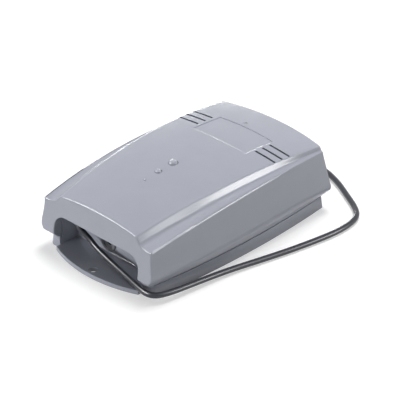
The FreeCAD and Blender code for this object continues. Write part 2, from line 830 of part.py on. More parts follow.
def relay_contacts(x):
    post_y = relay_y + relay_length / 2 - relay_case_wall - contact_wall_space - contact_post_depth / 2
    leaf_z = relay_floor + yoke_height + armature_gap
    width = 2 * contact_half_width
    post = block(x, post_y, relay_floor, width, contact_post_depth, leaf_z - contact_gap - relay_floor)
    blade_y = post_y + (contact_post_depth + contact_blade_thickness) / 2 + contact_blade_gap
    blade = block(x, blade_y, relay_floor, width, contact_blade_thickness, leaf_z - relay_floor)
    return Part.makeCompound([post, blade])


def relay_case(x):
    shell = block(x, relay_y, relay_floor, relay_width, relay_length, relay_case_height)
    wall = relay_case_wall
    room = block(x, relay_y, relay_floor, relay_width - 2 * wall, relay_length - 2 * wall,
                 relay_case_height - wall)
    return shell.cut(room)


def mains_transformer():
    return block(transformer_x, transformer_y, board_top, transformer_width, transformer_length,
                 transformer_height)


def fuse():
    """Glass tube with two metal caps, lying across the board."""
    z = board_top + fuse_height
    start = fuse_x - fuse_length / 2
    glass = rod(fuse_glass_radius, fuse_length - 2 * fuse_cap_length, start + fuse_cap_length, fuse_y, z, RIGHT)
    cap_starts = (start, start + fuse_length - fuse_cap_length)
    caps = [rod(fuse_radius, fuse_cap_length, x, fuse_y, z, RIGHT) for x in cap_starts]
    return join(glass, *caps)


def fuse_clips():
    clips = []
    half_gap = fuse_radius + clip_gap
    for side in (-1, 1):
        x = fuse_x + side * (fuse_length / 2 - fuse_cap_length / 2)
        plate = block(x, fuse_y, board_top, clip_length, 2 * (half_gap + clip_thickness), clip_thickness)
        wall_ys = [fuse_y + wall * (half_gap + clip_thickness / 2) for wall in (-1, 1)]
        walls = [block(x, y, board_top, clip_length, clip_thickness, clip_height) for y in wall_ys]
        clips.append(join(plate, *walls))
    return Part.makeCompound(clips)


def smoothing_capacitors():
    return Part.makeCompound([
        rod(large_capacitor_radius, large_capacitor_height, large_capacitor_x, capacitor_y, board_top),
        rod(small_capacitor_radius, small_capacitor_height, small_capacitor_x, capacitor_y, board_top),
    ])


def voltage_regulator():
    z = board_top + regulator_lead_height
    body = block(regulator_x, capacitor_y, z, regulator_width, regulator_depth, regulator_height)
    tab_y = capacitor_y + regulator_depth / 2 - regulator_tab_thickness / 2
    tab_z = z + regulator_height
    tab = block(regulator_x, tab_y, tab_z, regulator_width, regulator_tab_thickness, regulator_tab_height)
    hole_z = tab_z + regulator_tab_height / 2
    hole = rod(regulator_hole_radius, regulator_depth, regulator_x, capacitor_y, hole_z, BACK)
    leads = [block(regulator_x + step * regulator_width / 4, capacitor_y, board_top, diode_lead_radius * 2,
                   diode_lead_radius * 2, regulator_lead_height) for step in (-1, 0, 1)]
    return join(body, tab.cut(hole), *leads)


def diodes():
    """Two axial diodes on bent leads, lying along the board."""
    parts = []
    z = board_top + diode_radius + diode_lead_radius
    for step in range(2):
        y = diode_first_y + step * diode_pitch
        body = rod(diode_radius, diode_length, diode_x, y - diode_length / 2, z, BACK)
        wire = rod(diode_lead_radius, diode_lead_span, diode_x, y - diode_lead_span / 2, z, BACK)
        foot_reach = diode_lead_span / 2 - diode_lead_radius
        foot_ys = (y - foot_reach, y + foot_reach)
        feet = [rod(diode_lead_radius, z - board_top, diode_x, foot_y, board_top) for foot_y in foot_ys]
        parts.append(join(body, wire, *feet))
    return Part.makeCompound(parts)


def radio_module():
    return block(module_x, module_y, module_bottom, module_width, module_length, module_thickness)


def radio_shield():
    return block(module_x, shield_y, module_top, shield_width, shield_length, shield_height)


def module_pins():
    pins = []
    for side in (-1, 1):
        x = module_x + side * (module_width / 2 - module_pin_inset)
        for step in range(module_pin_count):
            y = module_y + (step - (module_pin_count - 1) / 2) * module_pin_pitch
            pins.append(block(x, y, board_top, module_pin_width, module_pin_width, module_height))
    return Part.makeCompound(pins)


def microcontroller():
    """Flat chip with a row of bent legs on both sides."""
    gap = chip_lead_thickness
    body = block(chip_x, control_y, board_top + gap, chip_width, chip_length, chip_height - gap)
    legs = []
    for side in (-1, 1):
        edge = chip_x + side * chip_width / 2
        for step in range(chip_lead_count):
            y = control_y + (step - (chip_lead_count - 1) / 2) * chip_lead_pitch
            foot = block(edge + side * chip_lead_reach / 2, y, board_top, chip_lead_reach, chip_lead_width, gap)
            legs.append(foot)
            legs.append(block(edge + side * gap / 2, y, board_top, gap, chip_lead_width, chip_height / 2))
    return join(body, *legs)


def crystal():
    """Oval metal can on a thin rim."""
    half_run = (crystal_length - crystal_width) / 2
    radius = crystal_width / 2
    can = block(crystal_x, control_y, board_top, 2 * radius, 2 * half_run, crystal_height)
    ends = [rod(radius, crystal_height, crystal_x, control_y + side * half_run, board_top) for side in (-1, 1)]
    return join(can, *ends)


def chip_resistors():
    places = [control_y + (step - (resistor_count - 1) / 2) * resistor_pitch for step in range(resistor_count)]
    return Part.makeCompound([
        block(resistor_x, y, board_top, resistor_length, resistor_width, resistor_height) for y in places
    ])


def status_led():
    rim = rod(led_radius + led_rim, 1.0, column_x, led_y, board_top)
    stem = rod(led_radius, led_height - led_radius, column_x, led_y, board_top)
    tip = Part.makeSphere(led_radius, Vec(column_x, led_y, board_top + led_height - led_radius))
    return join(rim, stem, tip)


def learn_button_body():
    body = block(column_x, button_y, board_top, button_side, button_side, button_height)
    well_z = board_top + button_height - plunger_well
    return body.cut(rod(plunger_radius + plunger_gap, plunger_well, column_x, button_y, well_z))


def learn_button_plunger():
    """Round plunger that stops on the well's floor after its travel."""
    z = board_top + button_height - plunger_well + button_travel + plunger_gap
    return rod(plunger_radius, plunger_height, column_x, button_y, z)


def slider_places():
    return [column_x + (step - (slider_count - 1) / 2) * slider_pitch for step in range(slider_count)]


def dip_switch_body():
    """Switch housing with one well for each slider, long enough for its travel."""
    body = block(column_x, dip_y, board_top, dip_width, dip_length, dip_height)
    well_z = board_top + dip_height - slider_well
    width = slider_side + 2 * slider_gap
    length = slider_side + slider_travel + 2 * slider_gap
    return body.cut([block(x, dip_y, well_z, width, length, slider_well) for x in slider_places()])


def dip_slider(x):
    y = dip_y - slider_travel / 2
    z = board_top + dip_height - slider_well + slider_gap
    return block(x, y, z, slider_side, slider_side, slider_height)


def lead_bushing():
    """Plastic ring in the bulkhead that holds the lead; the lead meets its faces on both sides."""
    return rod(bushing_radius, bulkhead_thickness, lead_x, bulkhead_y, lead_z, BACK)


def cord(route, radius):
    """Tube along straight runs joined by tangent arcs, with the radius of each turn and the path's length."""
    points = [Vec(*point) for point in route]
    edges, radii = [], []
    start = points[0]
    for before, corner, after in zip(points, points[1:], points[2:]):
        back, ahead = (before - corner), (after - corner)
        reach = 0.45 * min(back.Length, ahead.Length)
        turn = math.pi - back.getAngle(ahead)
        arc_radius = reach / math.tan(turn / 2)
        entry = corner + back.normalize() * reach
        leave = corner + ahead.normalize() * reach
        bisector = (back + ahead).normalize()
        centre_distance = math.hypot(arc_radius, reach)
        middle = corner + bisector * (centre_distance - arc_radius)
        edges.append(line(start, entry))
        edges.append(arc(entry, middle, leave))
        radii.append(arc_radius)
        start = leave
    edges.append(line(start, points[-1]))
    path = Part.Wire(edges)
    heading = (points[1] - points[0]).normalize()
    ring = Part.Wire(Part.makeCircle(radius, points[0], heading))
    return path.makePipeShell([ring], True, False), radii, path.Length


def save_cord(node, route):
    solid, radii, length = cord(route, lead_radius)
    expected = math.pi * lead_radius ** 2 * length
    print(node, "length", round(length, 1), "radii", [round(radius, 1) for radius in radii])
    print(node, "volume", round(solid.Volume, 1), "section times length", round(expected, 1))
    save(node, solid)


def save_case():
    save("base_tray", base_tray())
    save("top_cover", top_cover())
    save("cable_grommet", cable_grommet())
    save("lead_bushing", lead_bushing())
    save("cover_screws", screws(cover_screw_places(), cover_screw_head_z, cover_screw_head_radius,
                                cover_screw_head_height, cover_screw_radius, cover_screw_length, False))
    save("board_screws", screws(board_post_places(), board_top, board_screw_head_radius,
                                board_screw_head_height, board_screw_radius, board_screw_length, True))


def save_terminals():
    save("terminal_block_housing", terminal_block_housing())
    for number, x in enumerate(way_places(), 1):
        save("terminal_screw_" + str(number), terminal_screw(x))
        save("terminal_clamp_" + str(number), terminal_clamp(x))


def save_relays():
    for side, x in (("left", -relay_x), ("right", relay_x)):
        save(side + "_relay_base", relay_base(x))
        save(side + "_relay_coil", relay_coil(x))
        save(side + "_relay_yoke", relay_yoke(x))
        save(side + "_relay_armature", relay_armature(x))
        save(side + "_relay_contacts", relay_contacts(x))
        save(side + "_relay_case", relay_case(x))


def save_board():
    save("circuit_board", circuit_board())
    save("mains_transformer", mains_transformer())
    save("fuse", fuse())
    save("fuse_clips", fuse_clips())
    save("smoothing_capacitors", smoothing_capacitors())
    save("voltage_regulator", voltage_regulator())
    save("diodes", diodes())
    save("radio_module", radio_module())
    save("radio_shield", radio_shield())
    save("module_pins", module_pins())
    save("microcontroller", microcontroller())
    save("crystal", crystal())
    save("chip_resistors", chip_resistors())
    save("status_led", status_led())
    save("learn_button_body", learn_button_body())
    save("learn_button_plunger", learn_button_plunger())
    save("dip_switch_body", dip_switch_body())
    for number, x in enumerate(slider_places(), 1):
        save("dip_slider_" + str(number), dip_slider(x))


def main():
    os.makedirs("parts", exist_ok=True)
    save_case()
    save_terminals()
    save_relays()
    save_board()
    save_cord("antenna_lead", lead_route)
    save_cord("antenna_lead_inner", inner_route)


main()
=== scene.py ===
"""Wireless relay receiver: finishes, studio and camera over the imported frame."""

import json
import logging
import math
from dataclasses import dataclass, field
from enum import Enum

import bmesh
import bpy
import numpy as np
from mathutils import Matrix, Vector

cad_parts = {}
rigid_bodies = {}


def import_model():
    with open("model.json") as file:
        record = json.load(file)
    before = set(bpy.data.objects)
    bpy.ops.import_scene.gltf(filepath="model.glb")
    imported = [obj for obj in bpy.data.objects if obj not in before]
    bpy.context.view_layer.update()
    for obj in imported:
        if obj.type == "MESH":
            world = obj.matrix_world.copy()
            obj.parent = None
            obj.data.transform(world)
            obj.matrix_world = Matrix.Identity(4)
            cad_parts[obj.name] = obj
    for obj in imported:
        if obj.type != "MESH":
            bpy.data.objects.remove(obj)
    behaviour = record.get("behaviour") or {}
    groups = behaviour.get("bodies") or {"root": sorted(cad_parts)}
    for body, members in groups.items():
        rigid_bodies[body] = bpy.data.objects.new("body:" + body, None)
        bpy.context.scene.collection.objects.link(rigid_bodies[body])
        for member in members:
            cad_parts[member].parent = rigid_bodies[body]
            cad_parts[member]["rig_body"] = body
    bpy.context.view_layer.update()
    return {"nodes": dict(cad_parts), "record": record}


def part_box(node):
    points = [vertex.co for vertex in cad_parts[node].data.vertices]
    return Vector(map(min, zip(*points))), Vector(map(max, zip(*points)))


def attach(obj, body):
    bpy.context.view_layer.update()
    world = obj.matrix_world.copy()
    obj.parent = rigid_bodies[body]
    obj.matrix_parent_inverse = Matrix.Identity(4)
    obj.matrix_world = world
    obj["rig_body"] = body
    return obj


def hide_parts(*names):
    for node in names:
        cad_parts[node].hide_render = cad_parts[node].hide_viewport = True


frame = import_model()
LOG = logging.getLogger("receiver")
MM = 0.001
SHARP_ANGLE = 30.0
SAME_POINT = 0.002


def linear(colour: tuple[float, float, float]) -> tuple[float, float, float, float]:
    """Turn a colour as seen, 0 to 255 each, into the shader's linear value.

    Args:
        colour: red, green and blue from 0 to 255.

    Returns:
        Linear red, green, blue and an alpha of 1.
    """
    parts = np.asarray(colour, float) / 255
    low = parts / 12.92
    high = ((parts + 0.055) / 1.055) ** 2.4
    return (*np.where(parts <= 0.04045, low, high).tolist(), 1.0)


def linked(name: str, data: bpy.types.ID) -> bpy.types.Object:
    """Make an object for some data and put it in the scene.

    Args:
        name: the object's name.
        data: its mesh, curve, lamp or camera.

    Returns:
        The object.
    """
    made = bpy.data.objects.new(name, data)
    bpy.context.scene.collection.objects.link(made)
    return made


class GroupTree:
    """A shader node group under construction, with named inputs and outputs."""

    def __init__(self, name: str, inputs: dict[str, tuple[str, object]], outputs: dict[str, str]) -> None:
        """Make the group and its sockets.

        Args:
            name: the group's name.
            inputs: socket name to its type and default value.
            outputs: socket name to its type.
        """
        self.tree = bpy.data.node_groups.new(name, "ShaderNodeTree")
        for label, (kind, value) in inputs.items():
            socket = self.tree.interface.new_socket(label, in_out="INPUT", socket_type=kind)
            if value is not None:
                socket.default_value = value
        for label, kind in outputs.items():
            self.tree.interface.new_socket(label, in_out="OUTPUT", socket_type=kind)
        self.source = self.tree.nodes.new("NodeGroupInput")
        self.sink = self.tree.nodes.new("NodeGroupOutput")

    def read(self, label: str) -> bpy.types.NodeSocket:
        """One of the group's own inputs, as a socket to read from."""
        return self.source.outputs[label]

    def give(self, label: str, socket: bpy.types.NodeSocket) -> None:
        """Join a socket to one of the group's outputs."""
        self.link(socket, self.sink.inputs[label])

    def node(self, kind: str, **settings: object) -> bpy.types.Node:
        """Add a node and set its properties.

        Args:
            kind: the node's type.
            settings: property name to value.

        Returns:
            The node.
        """
        made = self.tree.nodes.new(kind)
        for key, value in settings.items():
            setattr(made, key, value)
        return made

    def link(self, start: bpy.types.NodeSocket, end: bpy.types.NodeSocket) -> None:
        """Join two sockets."""
        self.tree.links.new(start, end)

    def noise(
        self, scale: bpy.types.NodeSocket, detail: float, roughness: float = 0.5
    ) -> bpy.types.NodeSocket:
        """Add a noise read at the group's Place input.

        Args:
            scale: the socket that gives cells per metre.
            detail: octaves of finer noise.
            roughness: strength of each finer octave.

        Returns:
            The noise's value socket, about 0.3 to 0.7.
        """
        made = self.node("ShaderNodeTexNoise")
        made.inputs["Detail"].default_value = detail
        made.inputs["Roughness"].default_value = roughness
        self.link(self.read("Place"), made.inputs["Vector"])
        self.link(scale, made.inputs["Scale"])
        return made.outputs["Fac"]

    def maths(self, operation: str, *values: object) -> bpy.types.NodeSocket:
        """Add a sum, product or other step.

        Args:
            operation: what the step does with its values.
            values: a number or a socket for each value that the step takes.

        Returns:
            The result's socket.
        """
        made = self.node("ShaderNodeMath", operation=operation)
        for socket, value in zip(made.inputs, values):
            if isinstance(value, (int, float)):
                socket.default_value = value
            else:
                self.link(value, socket)
        return made.outputs["Value"]


def mottle_group() -> bpy.types.ShaderNodeTree:
    """Broad, faint change of tone and gloss: colour × (1 + amount × (noise − ½) × 2).

    Returns:
        The group.
    """
    group = GroupTree(
        "broad_mottle",
        {
            "Place": ("NodeSocketVector", None),
            "Colour": ("NodeSocketColor", (0.5, 0.5, 0.5, 1)),
            "Scale": ("NodeSocketFloat", 100.0),
            "Amount": ("NodeSocketFloat", 0.04),
            "Roughness": ("NodeSocketFloat", 0.5),
            "Gloss Change": ("NodeSocketFloat", 0.05),
        },
        {"Colour": "NodeSocketColor", "Roughness": "NodeSocketFloat"},
    )
    noise = group.noise(group.read("Scale"), 4.0, 0.6)
    swing = group.maths("MULTIPLY_ADD", noise, 2.0, -1.0)
    tone = group.maths("MULTIPLY_ADD", swing, group.read("Amount"), 1.0)
    tinted = group.node("ShaderNodeVectorMath", operation="SCALE")
    group.link(group.read("Colour"), tinted.inputs[0])
    group.link(tone, tinted.inputs["Scale"])
    group.give("Colour", tinted.outputs["Vector"])
    change = group.maths("MULTIPLY", swing, group.read("Gloss Change"))
    group.give("Roughness", group.maths("ADD", change, group.read("Roughness")))
    return group.tree


def grain_group() -> bpy.types.ShaderNodeTree:
    """Fine moulded grain: ⅔ of a fine noise plus ⅓ of one 2.7 times finer, as a height of 0 to 1.

    Returns:
        The group.
    """
    group = GroupTree(
        "moulded_grain",
        {"Place": ("NodeSocketVector", None), "Scale": ("NodeSocketFloat", 4000.0)},
        {"Height": "NodeSocketFloat"},
    )
    coarse = group.noise(group.read("Scale"), 2.0, 0.55)
    finer = group.noise(group.maths("MULTIPLY", group.read("Scale"), 2.7), 1.0)
    part = group.maths("MULTIPLY", coarse, 0.667)
    group.give("Height", group.maths("MULTIPLY_ADD", finer, 0.333, part))
    return group.tree


def brushed_group() -> bpy.types.ShaderNodeTree:
    """Fine drawn lines: a noise stretched 30 times along the second axis, as a height of 0 to 1.

    Returns:
        The group.
    """
    group = GroupTree(
        "drawn_lines",
        {"Place": ("NodeSocketVector", None), "Scale": ("NodeSocketFloat", 3000.0)},
        {"Height": "NodeSocketFloat"},
    )
    stretch = group.node("ShaderNodeVectorMath", operation="MULTIPLY")
    stretch.inputs[1].default_value = (1.0, 0.033, 1.0)
    group.link(group.read("Place"), stretch.inputs[0])
    noise = group.noise(group.read("Scale"), 3.0)
    group.link(stretch.outputs["Vector"], noise.node.inputs["Vector"])
    group.give("Height", noise)
    return group.tree


def wound_group() -> bpy.types.ShaderNodeTree:
    """Turns of round wire up the third axis: height = √(1 − (2·f − 1)²), with f the place in one turn.

    Returns:
        The group.
    """
    group = GroupTree(
        "wound_turns",
        {"Place": ("NodeSocketVector", None), "Scale": ("NodeSocketFloat", 4000.0)},
        {"Height": "NodeSocketFloat"},
    )
    parts = group.node("ShaderNodeSeparateXYZ")
    group.link(group.read("Place"), parts.inputs["Vector"])
    turn = group.maths("FRACT", group.maths("MULTIPLY", parts.outputs["Z"], group.read("Scale")))
    swing = group.maths("MULTIPLY_ADD", turn, 2.0, -1.0)
    rest = group.maths("SUBTRACT", 1.0, group.maths("MULTIPLY", swing, swing))
    group.give("Height", group.maths("SQRT", rest))
    return group.tree


def tracks_group() -> bpy.types.ShaderNodeTree:
    """Copper tracks under a board's green lacquer.

    Stripes run along the first axis where a broad noise is high and along the second where it is low, and
    stop where it is highest. Round pads sit on a grid of two pitches where a finer noise is high.

    Returns:
        The group.
    """
    stripe_share, pad_radius_squared = 0.45, 0.028
    turn_level, stop_level, pad_level = 0.5, 0.62, 0.5
    group = GroupTree(
        "board_tracks",
        {
            "Place": ("NodeSocketVector", None),
            "Colour": ("NodeSocketColor", (0.5, 0.5, 0.5, 1)),
            "Track Colour": ("NodeSocketColor", (0.5, 0.5, 0.5, 1)),
            "Pad Colour": ("NodeSocketColor", (0.5, 0.5, 0.5, 1)),
            "Pitch Scale": ("NodeSocketFloat", 787.0),
            "Noise Scale": ("NodeSocketFloat", 130.0),
        },
        {"Colour": "NodeSocketColor"},
    )
    parts = group.node("ShaderNodeSeparateXYZ")
    group.link(group.read("Place"), parts.inputs["Vector"])
    noise = group.noise(group.read("Noise Scale"), 1.0)
    gate = group.maths("GREATER_THAN", noise, turn_level)
    offsets, stripes = [], []
    for axis in ("Y", "X"):
        place = group.maths("MULTIPLY", parts.outputs[axis], group.read("Pitch Scale"))
        stripes.append(group.maths("LESS_THAN", group.maths("FRACT", place), stripe_share))
        offset = group.maths("SUBTRACT", group.maths("FRACT", group.maths("MULTIPLY", place, 0.5)), 0.5)
        offsets.append(group.maths("MULTIPLY", offset, offset))
    along = group.maths("MULTIPLY", stripes[0], gate)
    across = group.maths("MULTIPLY", stripes[1], group.maths("SUBTRACT", 1.0, gate))
    open_part = group.maths("LESS_THAN", noise, stop_level)
    track = group.maths("MULTIPLY", group.maths("MAXIMUM", along, across), open_part)
    finer = group.noise(group.maths("MULTIPLY", group.read("Noise Scale"), 3.0), 0.0)
    kept = group.maths("GREATER_THAN", finer, pad_level)
    disc = group.maths("LESS_THAN", group.maths("ADD", *offsets), pad_radius_squared)
    pad = group.maths("MULTIPLY", disc, kept)
    colour = group.read("Colour")
    for mask, label in ((track, "Track Colour"), (pad, "Pad Colour")):
        blend = group.node("ShaderNodeMix", data_type="RGBA")
        group.link(mask, blend.inputs["Factor"])
        first, second = (socket for socket in blend.inputs if socket.type == "RGBA")
        group.link(colour, first)
        group.link(group.read(label), second)
        colour = next(socket for socket in blend.outputs if socket.type == "RGBA")
    group.give("Colour", colour)
    return group.tree


class Relief(Enum):
    """Which fine relief a finish carries."""

    GRAIN = "moulded_grain"
    DRAWN = "drawn_lines"
    WOUND = "wound_turns"


@dataclass(frozen=True)
class Finish:
    """One finish: its tone, gloss and fine relief. Sizes are in millimetres."""

    name: str
    colour: tuple[float, float, float]
    roughness: float = 0.45
    metallic: float = 0.0
    relief: Relief = Relief.GRAIN
    grain_size: float = 0.3
    grain_depth: float = 0.01
    mottle_size: float = 12.0
    mottle: float = 0.04
    gloss_change: float = 0.06
    transmission: float = 0.0
    tracks: tuple[tuple[float, float, float], ...] = ()

    @staticmethod
    def grouped(
        tree: bpy.types.ShaderNodeTree, group: str, place: bpy.types.NodeSocket, values: dict[str, object]
    ) -> bpy.types.Node:
        """Add one of the node groups to a material.

        Args:
            tree: the material's nodes.
            group: the group's name.
            place: the coordinates that the group reads.
            values: input name to value.

        Returns:
            The group's node.
        """
        made = tree.nodes.new("ShaderNodeGroup")
        made.node_tree = bpy.data.node_groups[group]
        tree.links.new(place, made.inputs["Place"])
        for label, value in values.items():
            made.inputs[label].default_value = value
        return made

    def build(self) -> bpy.types.Material:
        """Make the material: mottle drives tone and gloss, the relief drives a bump.

        Returns:
            The material.
        """
        material = bpy.data.materials.new(self.name)
        material.use_nodes = True
        tree = material.node_tree
        shader = tree.nodes["Principled BSDF"]
        shader.inputs["Metallic"].default_value = self.metallic
        shader.inputs["Transmission Weight"].default_value = self.transmission
        place = tree.nodes.new("ShaderNodeTexCoord").outputs["Object"]
        settings = {
            "Colour": linear(self.colour),
            "Scale": 1 / (self.mottle_size * MM),
            "Amount": self.mottle,
            "Roughness": self.roughness,
            "Gloss Change": self.gloss_change,
        }
        mottle = self.grouped(tree, "broad_mottle", place, settings)
        colour = mottle.outputs["Colour"]
        if self.tracks:
            tones = {"Track Colour": linear(self.tracks[0]), "Pad Colour": linear(self.tracks[1])}
            tracks = self.grouped(tree, "board_tracks", place, tones)
            tree.links.new(colour, tracks.inputs["Colour"])
            colour = tracks.outputs["Colour"]
        tree.links.new(colour, shader.inputs["Base Color"])
        tree.links.new(mottle.outputs["Roughness"], shader.inputs["Roughness"])
        relief = self.grouped(tree, self.relief.value, place, {"Scale": 1 / (self.grain_size * MM)})
        bump = tree.nodes.new("ShaderNodeBump")
        bump.inputs["Strength"].default_value = 1.0
        bump.inputs["Distance"].default_value = self.grain_depth * MM
        tree.links.new(relief.outputs["Height"], bump.inputs["Height"])
        tree.links.new(bump.outputs["Normal"], shader.inputs["Normal"])
        return material


FINISHES = {
    "case_plastic": Finish("satin_grey_case", (159, 162, 173), 0.2, grain_size=0.22, grain_depth=0.006),
    "dark_lead": Finish("dark_lead_jacket", (48, 50, 59), 0.3, grain_size=0.4, grain_depth=0.004),
    "black_rubber": Finish("grey_rubber_plug", (120, 122, 128), 0.6, grain_size=0.3, grain_depth=0.01),
    "zinc_steel": Finish("zinc_plated_steel", (176, 178, 180), 0.3, 1.0, Relief.DRAWN, 0.2, 0.003),
    "tinned_brass": Finish("plated_brass", (214, 196, 148), 0.28, 1.0, Relief.DRAWN, 0.2, 0.003),
    "board_laminate": Finish(
        "green_board",
        (26, 84, 52),
        0.3,
        grain_size=0.5,
        grain_depth=0.004,
        tracks=((44, 122, 76), (176, 178, 172)),
    ),
    "green_housing": Finish("green_nylon_block", (44, 128, 78), 0.45, grain_size=0.25, grain_depth=0.006),
    "relay_blue": Finish("blue_relay_case", (30, 62, 138), 0.28, grain_size=0.4, grain_depth=0.003),
    "black_plastic": Finish("black_moulding", (30, 30, 33), 0.5, grain_size=0.25, grain_depth=0.006),
    "copper_winding": Finish("copper_winding", (178, 100, 58), 0.3, 0.8, Relief.WOUND, 0.22, 0.05),
    "iron": Finish("soft_iron", (120, 121, 124), 0.45, 1.0, Relief.DRAWN, 0.25, 0.004),
    "potting": Finish("potted_block", (34, 36, 44), 0.35, grain_size=0.5, grain_depth=0.006),
    "fuse_glass": Finish("fuse_glass", (214, 222, 218), 0.08, transmission=0.85, grain_depth=0.001),
    "capacitor_sleeve": Finish("capacitor_sleeve", (34, 38, 62), 0.25, grain_size=0.6, grain_depth=0.003),
    "white_plastic": Finish("white_moulding", (222, 222, 218), 0.45, grain_size=0.25, grain_depth=0.005),
    "shield_tin": Finish("tinned_sheet", (186, 187, 184), 0.32, 1.0, Relief.DRAWN, 0.3, 0.004),
    "led_green": Finish("green_lens", (120, 196, 120), 0.12, transmission=0.5, grain_depth=0.001),
    "red_plastic": Finish("red_moulding", (160, 34, 30), 0.42, grain_size=0.25, grain_depth=0.005),
    "lead_wire": Finish("tinned_lead", (188, 190, 190), 0.34, 1.0, Relief.DRAWN, 0.2, 0.003),
    "can_top": Finish("pressed_can_top", (198, 199, 200), 0.3, 1.0, Relief.DRAWN, 0.3, 0.004),
    "pale_band": Finish("pale_print_band", (186, 190, 194), 0.4, grain_size=0.4, grain_depth=0.003),
}


@dataclass(frozen=True)
class Zone:
    """A box in which a piece's faces take another finish; cut names the axes that are cut at its limits."""

    finish: str
    low: tuple[float, float, float]
    high: tuple[float, float, float]
    cut: str = ""


def zoned(mesh: bpy.types.Mesh, finish: str, zones: tuple[Zone, ...]) -> None:
    """Give a mesh its finish, and its faces within each zone the zone's.

    Args:
        mesh: the mesh, in metres.
        finish: key of the main finish.
        zones: the zones, in millimetres; a later one wins.
    """
    mesh.materials.clear()
    for key in (finish, *(zone.finish for zone in zones)):
        mesh.materials.append(bpy.data.materials[FINISHES[key].name])
    if not zones:
        return
    shape = bmesh.new()
    shape.from_mesh(mesh)
    for zone in zones:
        for number in ("xyz".index(axis) for axis in zone.cut):
            normal = Vector([float(number == axis) for axis in range(3)])
            for limit in (zone.low[number], zone.high[number]):
                parts, place = shape.verts[:] + shape.edges[:] + shape.faces[:], normal * limit * MM
                bmesh.ops.bisect_plane(shape, geom=parts, dist=1e-7, plane_co=place, plane_no=normal)
    for face in shape.faces:
        centre = face.calc_center_median() / MM
        for number, zone in enumerate(zones, 1):
            if all(a <= c <= b for a, c, b in zip(zone.low, centre, zone.high)):
                face.material_index = number
    shape.to_mesh(mesh)
    shape.free()


def placed(
    name: str, mesh: bpy.types.Mesh, node: str, finish: str, zones: tuple[Zone, ...] = ()
) -> bpy.types.Object:
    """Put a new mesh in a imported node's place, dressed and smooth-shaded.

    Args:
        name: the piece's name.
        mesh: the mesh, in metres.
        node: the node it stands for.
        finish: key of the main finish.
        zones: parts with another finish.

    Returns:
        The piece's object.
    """
    made = linked(name, mesh)
    zoned(mesh, finish, zones)
    mesh.shade_smooth()
    mesh.set_sharp_from_angle(angle=math.radians(SHARP_ANGLE))
    made.modifiers.new("even shading", "WEIGHTED_NORMAL").keep_sharp = True
    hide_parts(node)
    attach(made, frame["nodes"][node]["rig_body"])
    LOG.info("%s: %d faces, %s", name, len(mesh.polygons), FINISHES[finish].name)
    return made


def grid_faces(rows: int, columns: int, start: int = 0) -> np.ndarray:
    """Corner numbers of a grid's quads, its points numbered row by row from start.

    Args:
        rows: number of rows of points.
        columns: points in each row.
        start: number of the first point.

    Returns:
        One row of four corner numbers for each quad.
    """
    first = np.arange(rows - 1)[:, None] * columns + np.arange(columns - 1)[None, :] + start
    return np.stack([first, first + columns, first + columns + 1, first + 1], -1).reshape(-1, 4)


def woven(name: str, patches: list[np.ndarray], join: float = 0.004, marked: int = 0) -> bpy.types.Mesh:
    """Make one mesh from grids of points, with the points that meet merged and the faces turned outwards.

    Args:
        name: the mesh's name.
        patches: arrays of rows × columns × 3, in millimetres.
        join: distance in millimetres below which points become one.
        marked: how many of the first patches give their faces material 1.

    Returns:
        The mesh, in metres.
    """
    points, faces, start = [], [], 0
    for patch in patches:
        rows, columns = patch.shape[:2]
        points.append(patch.reshape(-1, 3))
        faces.append(grid_faces(rows, columns, start))
        start += rows * columns
    mesh = bpy.data.meshes.new(name)
    mesh.from_pydata((np.vstack(points) * MM).tolist(), [], np.vstack(faces).tolist())
    known = sum(len(group) for group in faces[:marked])
    mesh.polygons.foreach_set("material_index", (np.arange(len(mesh.polygons)) < known).astype(np.int32))
    shape = bmesh.new()
    shape.from_mesh(mesh)
    bmesh.ops.remove_doubles(shape, verts=shape.verts, dist=join * MM)
    bmesh.ops.recalc_face_normals(shape, faces=shape.faces)
    shape.to_mesh(mesh)
    shape.free()
    mesh.shade_smooth()
    return mesh


def turned(profile: np.ndarray, centre: tuple[float, float], steps: int = 32) -> np.ndarray:
    """Carry a profile of (radius, z) once round an upright axis: (x, y) = centre + r·(cos a, sin a).

    Args:
        profile: rows of radius and height, in millimetres.
        centre: the axis's place in plan.
        steps: divisions of the turn.

    Returns:
        A closed grid of points, profile × turn.
    """
    angle = np.linspace(0, 2 * math.pi, steps + 1)
    x = centre[0] + profile[:, :1] * np.cos(angle)
    y = centre[1] + profile[:, :1] * np.sin(angle)
    return np.stack([x, y, np.broadcast_to(profile[:, 1:], x.shape)], -1)


def slab(x: tuple[float, float], y: tuple[float, float], z: tuple[float, float]) -> np.ndarray:
    """Make a closed box as one grid: two rings, and each end drawn to a point.

    Args:
        x: both limits across the case, in millimetres.
        y: both limits along the case.
        z: both heights.

    Returns:
        The grid of points.
    """
    ring = np.array([[x[0], y[0]], [x[1], y[0]], [x[1], y[1]], [x[0], y[1]], [x[0], y[0]]])
    middle = np.broadcast_to(ring[:4].mean(0), ring.shape)
    layers = [(middle, z[0]), (ring, z[0]), (ring, z[1]), (middle, z[1])]
    return np.stack([np.column_stack([plan, np.full(5, height)]) for plan, height in layers])


def parabola(z: np.ndarray, *places: tuple[float, float]) -> np.ndarray:
    """Read the parabola through three places, by Lagrange's formula.

    Args:
        z: heights to read it at.
        places: three pairs of height and y.

    Returns:
        The parabola's y at each height.
    """
    (a, p), (b, q), (c, r) = places
    return (
        p * (z - b) * (z - c) / ((a - b) * (a - c))
        + q * (z - a) * (z - c) / ((b - a) * (b - c))
        + r * (z - a) * (z - b) / ((c - a) * (c - b))
    )


def through(start: np.ndarray, middle: np.ndarray, end: np.ndarray, t: np.ndarray) -> np.ndarray:
    """The quadratic curve that starts, passes its middle at t = ½ and ends at the given values."""
    pole = 2 * middle - (start + end) / 2
    return (1 - t) ** 2 * start + 2 * t * (1 - t) * pole + t**2 * end


